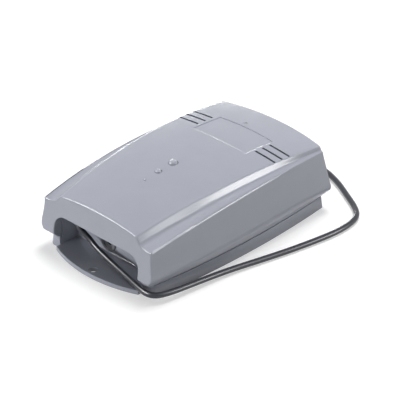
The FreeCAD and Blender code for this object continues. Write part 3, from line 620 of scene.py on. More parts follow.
@dataclass(frozen=True)
class Arc:
    """A shallow arc along the case: peak − (y − place)² ÷ 2·radius, in millimetres."""

    peak: float
    place: float
    radius: float

    def at(self, y: np.ndarray) -> np.ndarray:
        """The arc's value at places along the case."""
        return self.peak - (y - self.place) ** 2 / (2 * self.radius)


@dataclass
class CoverShell:
    """The crowned cover: a skin carried along the case, closed by a leaning front and a bowed rear.

    Sizes are in millimetres, with y from the front face and moved by hole_shift on the way out. The arcs
    give half-widths, and heights where their name says so. Profiles are pairs of height and distance in.
    """

    length: float = 120.4
    hole_shift: float = 2.8
    foot: float = 5.9
    wall: float = 2.2
    wall_half: float = 37.0
    foot_arc: Arc = Arc(36.1, 53, 485)
    wide_arc: Arc = Arc(38.3, 57, 860)
    crease_arc: Arc = Arc(36.95, 47, 625)
    crease_height: Arc = Arc(32.35, 78, 394)
    panel_arc: Arc = Arc(31.95, 110, 834)
    roof_height: Arc = Arc(38.1, 69, 312)
    panel_drop: float = 1.8
    crown_pole: float = 0.45
    crown_trim: float = 0.012
    crown_columns: int = 45
    chin_places: tuple[float, ...] = (0, 0.33, 0.651, 0.86)
    side_columns: tuple[int, ...] = (4, 8, 4, 5, 3, 4)
    stations: int = 84
    front_rows: int = 6
    roll_levels: tuple[float, float, float] = (10.2, 12.4, 14.8)
    roll_depth: float = 0.3
    flank_sink: float = 0.5
    flank_bow: float = 1.2
    flare_end: float = 0.965
    groove_across: float = 0.3
    groove_down: float = 0.74
    cove_sink: float = 0.09
    flank_end: float = 0.84
    edge_round: float = 0.55
    most_trim: float = 0.3
    rear_round: float = 0.12
    rear_start: float = 96.0
    round_angle: float = 28.0
    sharp_angle: float = 36.0
    front_lean: float = 0.113
    front_level: float = 24.6
    chin_top: float = 8.7
    chin_depth: float = 1.5
    rear_radius: float = 167.0
    rear_lean: float = 0.18
    rear_profile: tuple[tuple[float, float], ...] = (
        (5.9, 3.0), (9.6, 0.1), (12.0, 0.0), (14.4, 0.7), (25.0, 2.6), (34.8, 5.0)
    )
    rear_lift: float = 15.0
    arch_half: float = 27.6
    arch_top: float = 19.0
    arch_corner: float = 6.5
    jamb_rows: int = 4
    lip: float = 1.6
    lip_front: float = 1.2
    lip_rear: float = 3.3
    lip_gap: float = 0.05
    lip_clear: float = 1.002
    lip_points: tuple[int, int] = (121, 26)
    recess_half: float = 17.1
    recess_reach: tuple[float, float] = (78, 96.9)
    recess_bow: float = 0.85
    recess_depth: float = 0.4
    recess_wall: float = 0.22
    recess_flare: tuple[float, float] = (1.117, 1.21)
    recess_lid: float = 0.45
    recess_grid: tuple[int, int] = (21, 37)
    slot_places: tuple[float, ...] = (82.8, 87.6, 92.4)
    slot_reach: tuple[float, float] = (18.7, 31.2)
    slot_half_width: float = 0.6
    cut_reach: tuple[float, float] = (29.0, 46.0)
    gate_place: tuple[float, float] = (-4.3, 100.1)
    gate_radius: float = 1.35
    gate_rise: float = 0.6
    domes: tuple[tuple[float, float, float], ...] = ((30.1, 0.9, 0.5), (38.6, 1.6, 0.8), (48.0, 2.3, 1.1))
    dome_root: float = 0.6
    moat_depth: float = 0.4
    moat_overlap: float = 0.2
    moat_width: tuple[float, float] = (0.15, 0.35)
    bosses: tuple[tuple[float, float, float], ...] = (
        (-28, 18.5, 26.4), (28, 18.5, 26.4), (-24.5, 106.8, 30.5), (24.5, 106.8, 30.5)
    )
    boss_radius: float = 2.9
    boss_bore: float = 1.6
    boss_foot: float = 14.3
    bore_top: float = 21.2

    def side(self, y: np.ndarray, t: np.ndarray, part: int) -> tuple[np.ndarray, np.ndarray]:
        """x and z on one curve of the right side.

        The curves run 0 chin, 1 roll, 2 flare, 3 crease, 4 cove, 5 flank and 6 panel edge. The crease and
        the panel edge are quadratic fillets that cut edge_round off both neighbours.

        Args:
            y: places along the case.
            t: places along the curve, 0 to 1.
            part: which curve.

        Returns:
            Arrays of x and z, in y's shape.
        """
        wide, crease, panel = self.wide_arc.at(y), self.crease_arc.at(y), self.panel_arc.at(y)
        crease_z, panel_z = self.crease_height.at(y), self.roof_height.at(y) - self.panel_drop
        groove = panel + self.groove_across * (crease - panel)
        groove_z = panel_z - self.groove_down * (panel_z - crease_z)
        trim = np.minimum(self.edge_round / np.hypot(crease - groove, crease_z - groove_z), self.most_trim)
        level = np.zeros_like(y)
        roll_x = wide - self.roll_depth
        low, middle, high = (height + level for height in self.roll_levels)

        def flare(s: np.ndarray) -> tuple[np.ndarray, np.ndarray]:
            """The flank below the crease, from the roll up, bowed out by flank_bow × s·(1 − s)²."""
            x = through(roll_x, (roll_x + crease) / 2 - self.flank_sink, crease, s)
            return x + self.flank_bow * s * (1 - s) ** 2, through(high, (high + crease_z) / 2, crease_z, s)

        def cove(s: np.ndarray) -> tuple[np.ndarray, np.ndarray]:
            """The hollow between the crease and the groove."""
            sunk = (crease_z + groove_z) / 2 - self.cove_sink * (crease - groove)
            return through(crease, (crease + groove) / 2, groove, s), through(crease_z, sunk, groove_z, s)

        def flank(s: np.ndarray) -> tuple[np.ndarray, np.ndarray]:
            """The straight rise from the groove to the panel edge."""
            return groove + s * (panel - groove), groove_z + s * (panel_z - groove_z)

        if part == 0:
            foot = self.foot_arc.at(y)
            return foot + t * (roll_x - foot), self.foot + t * (low - self.foot)
        if part == 1:
            return through(roll_x, wide, roll_x, t), through(low, middle, high, t)
        if part == 2:
            return flare(t * self.flare_end)
        if part == 3:
            return self.fillet(flare(np.array(self.flare_end)), (crease, crease_z), cove(trim), t)
        if part == 4:
            return cove(trim + t * (1 - trim))
        if part == 5:
            return flank(t * self.flank_end)
        crown = self.crown(y, np.array(self.crown_trim))
        return self.fillet(flank(np.array(self.flank_end)), (panel, panel_z), crown, t)

    @staticmethod
    def fillet(start: tuple, corner: tuple, end: tuple, t: np.ndarray) -> tuple[np.ndarray, ...]:
        """The quadratic curve that leaves start and reaches end along the lines to their corner."""
        s = 1 - t
        return tuple(s**2 * a + 2 * s * t * b + t**2 * c for a, b, c in zip(start, corner, end))

    def crown(self, y: np.ndarray, t: np.ndarray) -> tuple[np.ndarray, np.ndarray]:
        """x and z on the crown at a place across it, 0 at the right panel edge and 1 at the left."""
        x = self.panel_arc.at(y) * self.crown_run(t)
        return x, self.roof_height.at(y) - self.panel_drop + 4 * self.panel_drop * t * (1 - t)

    def columns(self) -> list[np.ndarray]:
        """Places along each of the right side's curves, without each curve's end."""
        rest = [np.linspace(0, 1, count + 1)[:-1] for count in self.side_columns]
        return [np.array(self.chin_places)] + rest

    def crown_run(self, t: np.ndarray) -> np.ndarray:
        """Share of the panel's half-width along the crown: a cubic with poles ±1 and ±crown_pole."""
        s = 1 - t
        return s**3 + 3 * self.crown_pole * t * s**2 - 3 * self.crown_pole * t**2 * s - t**3

    def half(self, y: np.ndarray) -> tuple[np.ndarray, np.ndarray]:
        """x and z of the right side, from the foot to the crown.

        Args:
            y: the section's places along the case, one for each column from the right foot.

        Returns:
            Arrays of x and z with one column for each point of the side.
        """
        spans, start = [], 0
        for number, t in enumerate(self.columns()):
            spans.append(self.side(y[:, start : start + len(t)], t, number))
            start += len(t)
        return tuple(np.hstack(rows) for rows in zip(*spans))

    def section(self, y: np.ndarray) -> tuple[np.ndarray, np.ndarray]:
        """x and z of the whole skin, from the right foot over the crown to the left foot.

        Args:
            y: places along the case, one column for each point of the section.

        Returns:
            Arrays of x and z, in y's shape.
        """
        right_x, right_z = self.half(y)
        left_x, left_z = self.half(y[:, ::-1])
        middle = y[:, right_x.shape[1] : -right_x.shape[1]]
        share = np.linspace(self.crown_trim, 1 - self.crown_trim, middle.shape[1])
        crown_x, crown_z = self.crown(middle, share)
        return np.hstack([right_x, crown_x, -left_x[:, ::-1]]), np.hstack([right_z, crown_z, left_z[:, ::-1]])

    def front(self, z: np.ndarray) -> np.ndarray:
        """y of the front, which leans back as it rises, with a chin that runs back below its top.

        Args:
            z: heights.

        Returns:
            The front's y at each height.
        """
        lean = (z - self.front_level) * self.front_lean
        brow = (self.chin_top - self.front_level) * self.front_lean
        chin = self.chin_depth + (z - self.foot) / (self.chin_top - self.foot) * (brow - self.chin_depth)
        return np.where(z < self.chin_top, chin, lean)

    def rear(self, x: np.ndarray, z: np.ndarray) -> np.ndarray:
        """y of the rear: axis + √(r(z)² − x²), where r follows the rear's profile up the height.

        Args:
            x: places across the case.
            z: heights.

        Returns:
            The rear's y at each place.
        """
        places = ((up, self.length - inside) for up, inside in self.rear_profile)
        foot, under, widest, over, middle, brow = places
        low = foot[1] + (z - foot[0]) / (under[0] - foot[0]) * (under[1] - foot[1])
        roll = parabola(z, under, widest, over)
        upper = parabola(z, over, middle, brow)
        top = brow[1] - (z - brow[0]) * self.rear_lean
        line = np.select([z < under[0], z < over[0], z < brow[0]], [low, roll, upper], top)
        axis = self.length - self.rear_radius
        return axis + np.sqrt((line - axis) ** 2 - x**2)

    def skin(self) -> np.ndarray:
        """The skin's grid. Each column's limits settle on the front and the rear in a few rounds.

        Returns:
            The points, stations × columns × 3.
        """
        rounds = 16
        count = 2 * sum(len(part) for part in self.columns()) + self.crown_columns
        first, last = np.zeros((1, count)), np.full((1, count), self.length - self.rear_profile[-1][1])
        for _ in range(rounds):
            first = self.front(self.section(first)[1])
            last = self.rear(*self.section(last))
        y = first + (last - first) * np.linspace(0, 1, self.stations)[:, None]
        x, z = self.section(y)
        return np.stack([x, y, z], -1)

    def arch(self, count: int, side_count: int) -> tuple[np.ndarray, np.ndarray]:
        """x and z of the arch's outline with one point for each point of the section.

        Args:
            count: points of the section.
            side_count: points of one side, below the crown.

        Returns:
            Arrays of x and z, from the right foot over the lintel to the left foot.
        """
        sill = self.roll_levels[0]
        chin_z = self.foot + self.columns()[0] * (sill - self.foot)
        spring = self.arch_top - self.arch_corner
        jamb_z = np.linspace(sill, spring, self.jamb_rows + 1)[:-1]
        angle = np.linspace(0, math.pi / 2, side_count - len(chin_z) - self.jamb_rows + 1)[:-1]
        inner = self.arch_half - self.arch_corner
        lintel = np.linspace(inner, -inner, count - 2 * side_count)
        x = [np.full(len(chin_z) + self.jamb_rows, self.arch_half), inner + self.arch_corner * np.cos(angle)]
        z = [chin_z, jamb_z, spring + self.arch_corner * np.sin(angle)]
        right_x, right_z = np.concatenate(x), np.concatenate(z)
        return (
            np.concatenate([right_x, lintel, -right_x[::-1]]),
            np.concatenate([right_z, np.full(len(lintel), self.arch_top), right_z[::-1]]),
        )

    def front_face(self, skin: np.ndarray, side_count: int) -> np.ndarray:
        """The front as straight rulings from the skin's first row to the arch's outline.

        Args:
            skin: the skin's grid.
            side_count: points of one side, below the crown.

        Returns:
            The front's grid.
        """
        arch_x, arch_z = self.arch(skin.shape[1], side_count)
        share = np.linspace(0, 1, self.front_rows)[:, None]
        x = skin[0, :, 0] * (1 - share) + arch_x * share
        z = skin[0, :, 2] * (1 - share) + arch_z * share
        return np.stack([x, self.front(z), z], -1)

    def rear_face(self, skin: np.ndarray, side_count: int) -> np.ndarray:
        """The rear: level rows between both corners that lift into the crown's last row.

        Args:
            skin: the skin's grid.
            side_count: points of one side, below the crown.

        Returns:
            The rear's grid.
        """
        corner = skin[-1, : side_count + 1]
        crown = skin[-1, side_count : skin.shape[1] - side_count]
        run = crown[:, 0] / crown[0, 0]
        lift = np.clip((corner[:, 2] - self.rear_lift) / (corner[-1, 2] - self.rear_lift), 0, 1)[:, None]
        x = corner[:, :1] * run
        z = corner[:, 2:] + lift * (crown[:, 2] - crown[0, 2])
        return np.stack([x, self.rear(x, z), z], -1)

    def crown_z(self, x: np.ndarray, y: np.ndarray) -> np.ndarray:
        """Height of the crown over a place in plan, by reading the cubic's run backwards.

        Args:
            x: places across the case.
            y: places along it.

        Returns:
            The height at each place.
        """
        t = np.linspace(0, 1, 400)
        found = np.interp(-x / self.panel_arc.at(y), -self.crown_run(t), t)
        return self.roof_height.at(y) - self.panel_drop + 4 * self.panel_drop * found * (1 - found)

    def recess(self) -> list[np.ndarray]:
        """The label recess's cutter: the crown lowered within its outline, flared out at the rim.

        Returns:
            The floor, the lid and the four walls.
        """
        across = np.linspace(-self.recess_half, self.recess_half, self.recess_grid[1])
        x = np.broadcast_to(across, self.recess_grid)
        start, end = self.recess_reach
        bowed = end - self.recess_bow * (across / self.recess_half) ** 2
        y = start + np.linspace(0, 1, self.recess_grid[0])[:, None] * (bowed - start)
        floor = np.stack([x, y, self.crown_z(x, y) - self.recess_depth], -1)
        rim = floor + [0, 0, self.recess_wall]
        middle = (start + end) / 2
        wide_x, wide_y = x * self.recess_flare[0], middle + (y - middle) * self.recess_flare[1]
        lid = np.stack([wide_x, wide_y, self.crown_z(wide_x, wide_y) + self.recess_lid], -1)
        layers = (floor, rim, lid)
        walls = [np.stack([layer[row] for layer in layers]) for row in (0, -1)]
        walls += [np.stack([layer[:, column] for layer in layers]) for column in (0, -1)]
        return [floor, lid] + walls

    def gate(self) -> np.ndarray:
        """The gate mark's cutter: a ball that dips a little into the roof.

        Returns:
            The ball's grid.
        """
        angle = np.linspace(0, math.pi, 24)
        roof = float(self.crown_z(*np.array(self.gate_place)))
        heights = roof + self.gate_rise - self.gate_radius * np.cos(angle)
        return turned(np.column_stack([self.gate_radius * np.sin(angle), heights]), self.gate_place)

    def moat(self, y: float, radius: float) -> np.ndarray:
        """The cutter of the ring round one dome, with an outer wall that leans out.

        Args:
            y: the dome's place along the case.
            radius: the dome's radius.

        Returns:
            The ring's grid.
        """
        low, high = float(self.roof_height.at(np.array(y))) - self.moat_depth, self.cut_reach[1]
        inside, (floor, rim) = radius - self.moat_overlap, self.moat_width
        ring = [[inside, low], [radius + floor, low], [radius + rim, high], [inside, high]]
        return turned(np.array(ring + ring[:1]), (0, y))

    def cutter(self) -> bpy.types.Object:
        """All that is cut from the roof: the recess, the vent slots, the moats and the gate mark.

        Returns:
            The cutter's object.
        """
        patches = self.recess()
        for y in self.slot_places:
            for side in (-1, 1):
                across = tuple(side * limit for limit in self.slot_reach)
                along = (y - self.slot_half_width, y + self.slot_half_width)
                patches.append(slab(across, along, self.cut_reach))
        patches += [self.moat(y, radius) for y, radius, _ in self.domes[1:]]
        patches.append(self.gate())
        return linked("roof_cutter", woven("roof_cutter", patches))

    def lining(self) -> np.ndarray:
        """The lip that runs back inside the arch: a square section carried along the arch's outline.

        Returns:
            The lip's closed grid.
        """
        x, z = self.arch(*self.lip_points)
        sill = self.roll_levels[0]
        spread = 1 + self.lip / self.arch_half
        near, far = self.front(z) + self.lip_front, np.full(x.shape, self.lip_rear)
        inner = (x * self.lip_clear, np.where(z > sill, z + self.lip_gap, z))
        outer = (x * spread, np.where(z > sill, z + self.lip * (z - sill) / (self.arch_top - sill), z))
        rings = [(*inner, near), (*inner, far), (*outer, far), (*outer, near), (*inner, near)]
        tube = np.stack([np.stack([a, y, b], -1) for a, b, y in rings], 1)
        ends = [np.broadcast_to(tube[row, :4].mean(0), tube[row].shape)[None] for row in (0, -1)]
        return np.concatenate([ends[0], tube, ends[1]])

    def bumps(self) -> list[np.ndarray]:
        """The arch's lip, the three domes on the roof's middle line and the four screw bosses below it.

        A dome's profile is a rounded quarter: r = radius·sin(a)^¾ and z = base + height·cos(a)^¾.

        Returns:
            One closed grid for each.
        """
        patches = [self.lining()]
        angle = np.linspace(0, math.pi / 2, 14)
        for y, radius, height in self.domes:
            base = float(self.roof_height.at(np.array(y))) - self.dome_root
            rise = (height + self.dome_root) * np.cos(angle) ** 0.75
            cap = np.column_stack([radius * np.sin(angle) ** 0.75, base + rise])
            patches.append(turned(np.vstack([cap, [[0, base]]]), (0, y)))
        bore = [[0, self.bore_top], [self.boss_bore, self.bore_top], [self.boss_bore, self.boss_foot]]
        for x, y, top in self.bosses:
            tube = bore + [[self.boss_radius, self.boss_foot], [self.boss_radius, top], [0, top]]
            patches.append(turned(np.array(tube), (x, y), 40))
        return patches

    def inner(self, points: np.ndarray, share: np.ndarray | float = 0.0) -> np.ndarray:
        """The wall's inside: points drawn towards the middle of the foot by the wall's thickness.

        Args:
            points: outside points, in millimetres.
            share: 0 draws a point inwards, 1 only moves it back by the wall's thickness.

        Returns:
            The inside points.
        """
        middle = np.array([0.0, self.length / 2, self.foot])
        reach = np.array([self.wall_half, self.length / 2, self.roof_height.peak - self.foot])
        drawn = middle + (points - middle) * (1 - self.wall / reach)
        return drawn + np.asarray(share)[..., None] * (points + [0, self.wall, 0] - drawn)

    def round_rims(self, mesh: bpy.types.Mesh) -> None:
        """Round the sharp edges of the shell's outside: the front and rear rims, the arch and the foot.

        Args:
            mesh: the shell's mesh, with material 1 on its outside.
        """
        shape = bmesh.new()
        shape.from_mesh(mesh)
        edges = [
            edge
            for edge in shape.edges
            if len(edge.link_faces) == 2
            and any(face.material_index for face in edge.link_faces)
            and edge.calc_face_angle() > math.radians(self.round_angle)
        ]
        rear = {edge for edge in edges if min(corner.co.y for corner in edge.verts) > self.rear_start * MM}
        front = [edge for edge in edges if edge not in rear]
        for group, width in ((front, self.edge_round), (rear, self.rear_round)):
            bmesh.ops.bevel(
                shape,
                geom=[edge for edge in group if edge.is_valid],
                offset=width * MM,
                offset_type="OFFSET",
                segments=4,
                profile=0.5,
                affect="EDGES",
                clamp_overlap=False,
            )
        shape.to_mesh(mesh)
        shape.free()

    def walls(self) -> list[np.ndarray]:
        """The shell's patches.

        Returns:
            Three outside, the same three inside, and the strips that join them.
        """
        side_count = sum(len(part) for part in self.columns())
        skin = self.skin()
        front, rear = self.front_face(skin, side_count), self.rear_face(skin, side_count)
        share = np.linspace(0, 1, len(front))[:, None] + np.zeros(front.shape[1])
        skin_in, front_in, rear_in = self.inner(skin), self.inner(front, share), self.inner(rear)
        seams = [
            (skin[:, 0], skin_in[:, 0]),
            (skin[:, -1], skin_in[:, -1]),
            (rear[0], rear_in[0]),
            (front[-1], front_in[-1]),
            (front[:, 0], front_in[:, 0]),
            (front[:, -1], front_in[:, -1]),
        ]
        return [skin, front, rear, skin_in, front_in, rear_in] + [np.stack(pair) for pair in seams]

    def build(self) -> bpy.types.Object:
        """Weave the skin, give it its wall and rounded edges, cut the roof, and add the bumps.

        Returns:
            The cover's object.
        """
        mesh = woven("top_cover_shell", self.walls(), join=0.03, marked=3)
        self.round_rims(mesh)
        made = linked("top_cover_shell", mesh)
        cutter = self.cutter()
        cut = made.modifiers.new("roof cuts", "BOOLEAN")
        cut.operation = "DIFFERENCE"
        cut.solver = "EXACT"
        cut.object = cutter
        mesh = settled(made)
        bpy.data.objects.remove(cutter)
        shape = bmesh.new()
        shape.from_mesh(mesh)
        shape.from_mesh(woven("cover_bumps", self.bumps()))
        bmesh.ops.translate(shape, vec=(0, self.hole_shift * MM, 0), verts=shape.verts)
        shape.to_mesh(mesh)
        shape.free()
        mesh.shade_smooth()
        mesh.set_sharp_from_angle(angle=math.radians(self.sharp_angle))
        mesh.materials.clear()
        mesh.materials.append(bpy.data.materials[FINISHES["case_plastic"].name])
        made.modifiers.new("even shading", "WEIGHTED_NORMAL").keep_sharp = True
        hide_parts("top_cover")
        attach(made, "cover")
        LOG.info("top cover: %d faces", len(mesh.polygons))
        return made


def settled(made: bpy.types.Object) -> bpy.types.Mesh:
    """Turn an object's modifiers into its mesh.

    Args:
        made: an object with live modifiers.

    Returns:
        The object's new mesh, with the modifiers gone.
    """
    depsgraph = bpy.context.evaluated_depsgraph_get()
    mesh = bpy.data.meshes.new_from_object(made.evaluated_get(depsgraph))
    made.modifiers.clear()
    made.data = mesh
    return mesh


@dataclass
class Piece:
    """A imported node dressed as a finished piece: its corners merged, its sharp edges rounded."""

    node: str
    finish: str
    round_edges: float
    zones: tuple[Zone, ...]
    sharp_angle: float

    def build(self) -> bpy.types.Object:
        """Copy the node's mesh, merge it, round its edges and give it its finish.

        Returns:
            The piece's object.
        """
        mesh = frame["nodes"][self.node].data.copy()
        shape = bmesh.new()
        shape.from_mesh(mesh)
        bmesh.ops.remove_doubles(shape, verts=shape.verts, dist=SAME_POINT * MM)
        shape.to_mesh(mesh)
        shape.free()
        mesh.shade_smooth()
        mesh.set_sharp_from_angle(angle=math.radians(self.sharp_angle))
        made = linked(f"{self.node}_finished", mesh)
        zoned(mesh, self.finish, self.zones)
        if self.round_edges:
            rounding = made.modifiers.new("rounded edges", "BEVEL")
            rounding.width = self.round_edges * MM
            rounding.segments = 2
            rounding.limit_method = "ANGLE"
            rounding.angle_limit = math.radians(self.sharp_angle)
            rounding.use_clamp_overlap = False
        made.modifiers.new("even shading", "WEIGHTED_NORMAL").keep_sharp = True
        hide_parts(self.node)
        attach(made, frame["nodes"][self.node]["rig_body"])
        LOG.info("%s: %d faces, %s", made.name, len(mesh.polygons), FINISHES[self.finish].name)
        return made


@dataclass
class MouldedBox:
    """A box-shaped piece with rounded corners, a slight draft and a sunk top. Sizes in millimetres."""

    node: str
    finish: str
    corner: float = 0.8
    edge: float = 0.35
    draft: float = 0.15
    skirt: float = 0.0
    rim: float = 1.0
    sunk: float = 0.3
    wall: float = 0.0
    vent: float = 0.0
    least_corner: float = 0.15
    least_roof: float = 0.3
    skirt_share: float = 0.8
    skirt_step: float = 0.1
    vent_inset: tuple[float, float] = (3.2, 3.0)
    vent_root: float = 0.1
    vent_taper: float = 0.85
    vent_drop: float = 0.05

    def box(self) -> tuple[np.ndarray, np.ndarray]:
        """The node's low and high corner in millimetres."""
        low, high = (np.array(corner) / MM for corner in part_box(self.node))
        return low, high

    def middle(self, z: float, count: int) -> np.ndarray:
        """A row of count points, all drawn to the node's middle at a height."""
        return np.broadcast_to([*(sum(self.box())[:2] / 2), z], (count, 3))

    def ring(self, inset: float, z: float) -> np.ndarray:
        """One level row: the node's outline drawn in by inset, its corners quarter circles.

        Args:
            inset: distance inside the node's box.
            z: height of the row.

        Returns:
            The closed row of points.
        """
        low, high = self.box()
        middle, half = (low + high)[:2] / 2, (high - low)[:2] / 2 - inset
        radius = max(self.corner - inset, self.least_corner)
        angle = (np.arange(4)[:, None] * math.pi / 2 + np.linspace(0, math.pi / 2, 6)).ravel()
        signs = np.repeat([[1, 1], [-1, 1], [-1, -1], [1, -1]], 6, axis=0)
        plan = middle + signs * (half - radius) + radius * np.column_stack([np.cos(angle), np.sin(angle)])
        plan = np.vstack([plan, plan[:1]])
        return np.column_stack([plan, np.full(len(plan), z)])

    def rows(self) -> np.ndarray:
        """The rows from inside or below, up the sides, over the rounded edge and across the sunk top.

        Returns:
            The closed grid of points.
        """
        bottom, top = (corner[2] for corner in self.box())
        turn = np.linspace(0, math.pi / 2, 5)
        arc = zip(self.draft + self.edge * (1 - np.cos(turn)), top - self.edge * (1 - np.sin(turn)))
        places = [(0.0, bottom)]
        if self.skirt:
            shoulder = (self.draft * self.skirt_share, bottom + self.skirt + self.skirt_step)
            places += [(0.0, bottom + self.skirt), shoulder]
        rim = self.draft + self.rim
        places += [*arc, (rim, top), (rim + self.sunk / 2, top - self.sunk)]
        rows = [self.ring(inset, z) for inset, z in places]
        count = len(rows[0])
        rows.append(self.middle(top - self.sunk, count))
        if self.wall:
            ceiling = top - max(self.wall, self.sunk + self.least_roof)
            lining = [self.ring(self.wall, ceiling), self.ring(self.wall, bottom)]
            return np.stack([self.middle(ceiling, count)] + lining + rows)
        return np.stack([self.middle(bottom, count)] + rows)

    def pip(self) -> np.ndarray:
        """A small round vent pip near one corner of the sunk top.

        Returns:
            The pip's closed grid.
        """
        high = self.box()[1]
        base, crest = high[2] - self.sunk - self.vent_root, high[2] - self.vent_drop
        profile = [[0, base], [self.vent, base], [self.vent * self.vent_taper, crest], [0, crest]]
        return turned(np.array(profile), (high[0] - self.vent_inset[0], high[1] - self.vent_inset[1]), 20)

    def build(self) -> bpy.types.Object:
        """Weave the box, with its vent pip where it has one, and put it in the node's place."""
        patches = [self.rows(), self.pip()] if self.vent else [self.rows()]
        return placed(f"{self.node}_finished", woven(self.node, patches), self.node, self.finish)


@dataclass(frozen=True)
class Can:
    """One upright can: a sleeve with a crimped neck and a pale stripe, and a scored metal top.

    Sizes are in millimetres; x and y give the axis and top the height of the sleeve's fold.
    """

    x: float
    radius: float
    top: float
    y: float = 94.8
    bottom: float = 8.1
    fold: float = 0.9
    brow: tuple[tuple[float, float], ...] = ((0, 0.5), (0.13, 0.16), (0.45, 0), (0.9, 0.06))
    well_depth: float = 0.4
    foot_round: float = 0.25
    crimp_depth: float = 0.3
    crimp_start: float = 1.5
    crimp_height: float = 1.2
    disc_sink: float = 0.2
    disc_overlap: float = 0.02
    stripe_share: float = 0.36
    stripe_start: float = 10.9
    stripe_end: float = 0.3
    score_depth: float = 0.12
    score_half_width: float = 0.22
    score_share: float = 0.66

    def sleeve(self) -> np.ndarray:
        """The sleeve: a profile with the neck's crimp, turned round the can's axis.

        Returns:
            The sleeve's closed grid.
        """
        turn = np.linspace(0, math.pi, 7)
        rise = self.bottom + self.crimp_start + self.crimp_height * turn / math.pi
        neck = np.column_stack([self.radius - self.crimp_depth * np.sin(turn), rise])
        foot_z = self.bottom + self.foot_round
        foot = [[0, self.bottom], [self.radius - self.foot_round, self.bottom], [self.radius, foot_z]]
        brow = [[self.radius - inside, self.top - below] for inside, below in self.brow]
        well_z = self.top - self.well_depth
        well = [[self.radius - self.fold, well_z], [0, well_z]]
        return turned(np.vstack([foot, neck, brow, well]), (self.x, self.y), 48)

    def disc(self) -> np.ndarray:
        """The metal top: a flat disc in which two crossed score lines sink, short of its rim.

        Returns:
            The disc's grid.
        """
        reach = (self.radius - self.fold + self.disc_overlap) * np.linspace(0, 1, 13)
        profile = np.column_stack([reach, np.full(13, self.top - self.disc_sink)])
        grid = turned(profile, (self.x, self.y), 72)
        off_x, off_y = grid[..., 0] - self.x, grid[..., 1] - self.y
        on_line = np.minimum(np.abs(off_x), np.abs(off_y)) < self.score_half_width
        within = np.hypot(off_x, off_y) < self.radius * self.score_share
        grid[..., 2] -= self.score_depth * (on_line & within)
        return grid

    def stripe(self) -> Zone:
        """The zone of the pale stripe, down the can's front.

        Returns:
            The zone.
        """
        half = self.radius * self.stripe_share
        low = (self.x - half, self.y - self.radius - 1, self.stripe_start)
        return Zone("pale_band", low, (self.x + half, self.y, self.top - self.stripe_end))


@dataclass
class SmoothingCapacitors:
    """The two smoothing capacitors, made as one piece of sleeves and one of metal tops."""

    cans: tuple[Can, ...] = (Can(10.4, 5.0, 22.1), Can(21.0, 4.0, 20.1))

    def build(self) -> None:
        """Make the sleeves and the tops."""
        stripes = tuple(can.stripe() for can in self.cans)
        sleeves = woven("capacitor_sleeves", [can.sleeve() for can in self.cans])
        placed("capacitor_sleeves", sleeves, "smoothing_capacitors", "capacitor_sleeve", stripes)
        tops = woven("capacitor_tops", [can.disc() for can in self.cans])
        made = placed("capacitor_tops", tops, "smoothing_capacitors", "capacitor_sleeve")
        made.data.materials[0] = bpy.data.materials[FINISHES["can_top"].name]


@dataclass
class FuseWire:
    """The thin wire inside the fuse's glass, sagging slightly between its caps. Sizes in millimetres."""

    start: float = -15.2
    end: float = -4.8
    y: float = 65.8
    z: float = 11.7
    radius: float = 0.14
    sag: float = 0.35

    def build(self) -> bpy.types.Object:
        """Carry a small circle along the wire: z = middle − sag × 4·t·(1 − t).

        Returns:
            The wire's object.
        """
        share = np.linspace(0, 1, 17)[:, None]
        angle = np.linspace(0, 2 * math.pi, 9)
        reach = np.where((share == 0) | (share == 1), 0, self.radius)
        x = self.start + (self.end - self.start) * share + 0 * angle
        drop = self.sag * 4 * share * (1 - share)
        wire = np.stack([x, self.y + reach * np.cos(angle), self.z - drop + reach * np.sin(angle)], -1)
        return placed("fuse_wire", woven("fuse_wire", [wire]), "fuse", "tinned_brass")


@dataclass
class AntennaLead:
    """The thin dark lead that leaves the cable bay and lies round the right side. Sizes in millimetres."""

    diameter: float = 2.8
    length: float = 251.3
    exit_point: tuple[float, float, float] = (-22.5, 14.8, 14.5)
    route: tuple[tuple[float, float, float], ...] = (
        (-22.5, 14.8, 14.5), (-22.5, 10.7, 14.5), (-19.0, 9.0, 12.4), (-14.4, 10.2, 9.1),
        (-8.3, 9.7, 6.0), (0.9, 8.4, 4.2), (14.4, 5.6, 3.75), (26.8, 2.4, 3.8),
        (33.2, 1.1, 3.8), (37.3, 2.7, 3.7), (39.2, 7.4, 3.5), (40.2, 13.8, 3.2),
        (41.2, 24.8, 2.7), (43.1, 43.0, 1.9), (48.1, 65.4, 1.45), (51.4, 80.7, 1.45),
        (54.4, 99.8, 1.45), (54.5, 111.3, 1.45), (52.2, 120.4, 1.45), (45.9, 126.1, 1.45),
        (35.0, 132.0, 1.45), (23.3, 138.4, 1.45), (9.0, 143.2, 1.45), (-6.5, 144.6, 1.45),
    )

    def build(self) -> bpy.types.Object:
        """Lay one smooth spline along the route and give it the jacket's round section.

        Returns:
            The lead's curve object.
        """
        curve = bpy.data.curves.new("antenna_lead_jacket", "CURVE")
        curve.dimensions = "3D"
        line = curve.splines.new("NURBS")
        line.points.add(len(self.route) - 1)
        rows = np.column_stack([np.asarray(self.route) * MM, np.ones(len(self.route))])
        line.points.foreach_set("co", rows.ravel())
        line.order_u = 3
        line.use_endpoint_u = True
        line.resolution_u = 12
        curve.bevel_depth = self.diameter / 2 * MM
        curve.bevel_resolution = 8
        curve.use_fill_caps = True
        curve.materials.append(bpy.data.materials[FINISHES["dark_lead"].name])
        lead = linked("antenna_lead_jacket", curve)
        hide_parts("antenna_lead")
        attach(lead, "base")
        LOG.info("antenna lead: %d route points", len(self.route))
        return lead


class Light(Enum):
    """What a lamp gives: soft light on the piece, or only the sheen on its edges."""

    SOFT = "soft"
    SHEEN = "sheen"


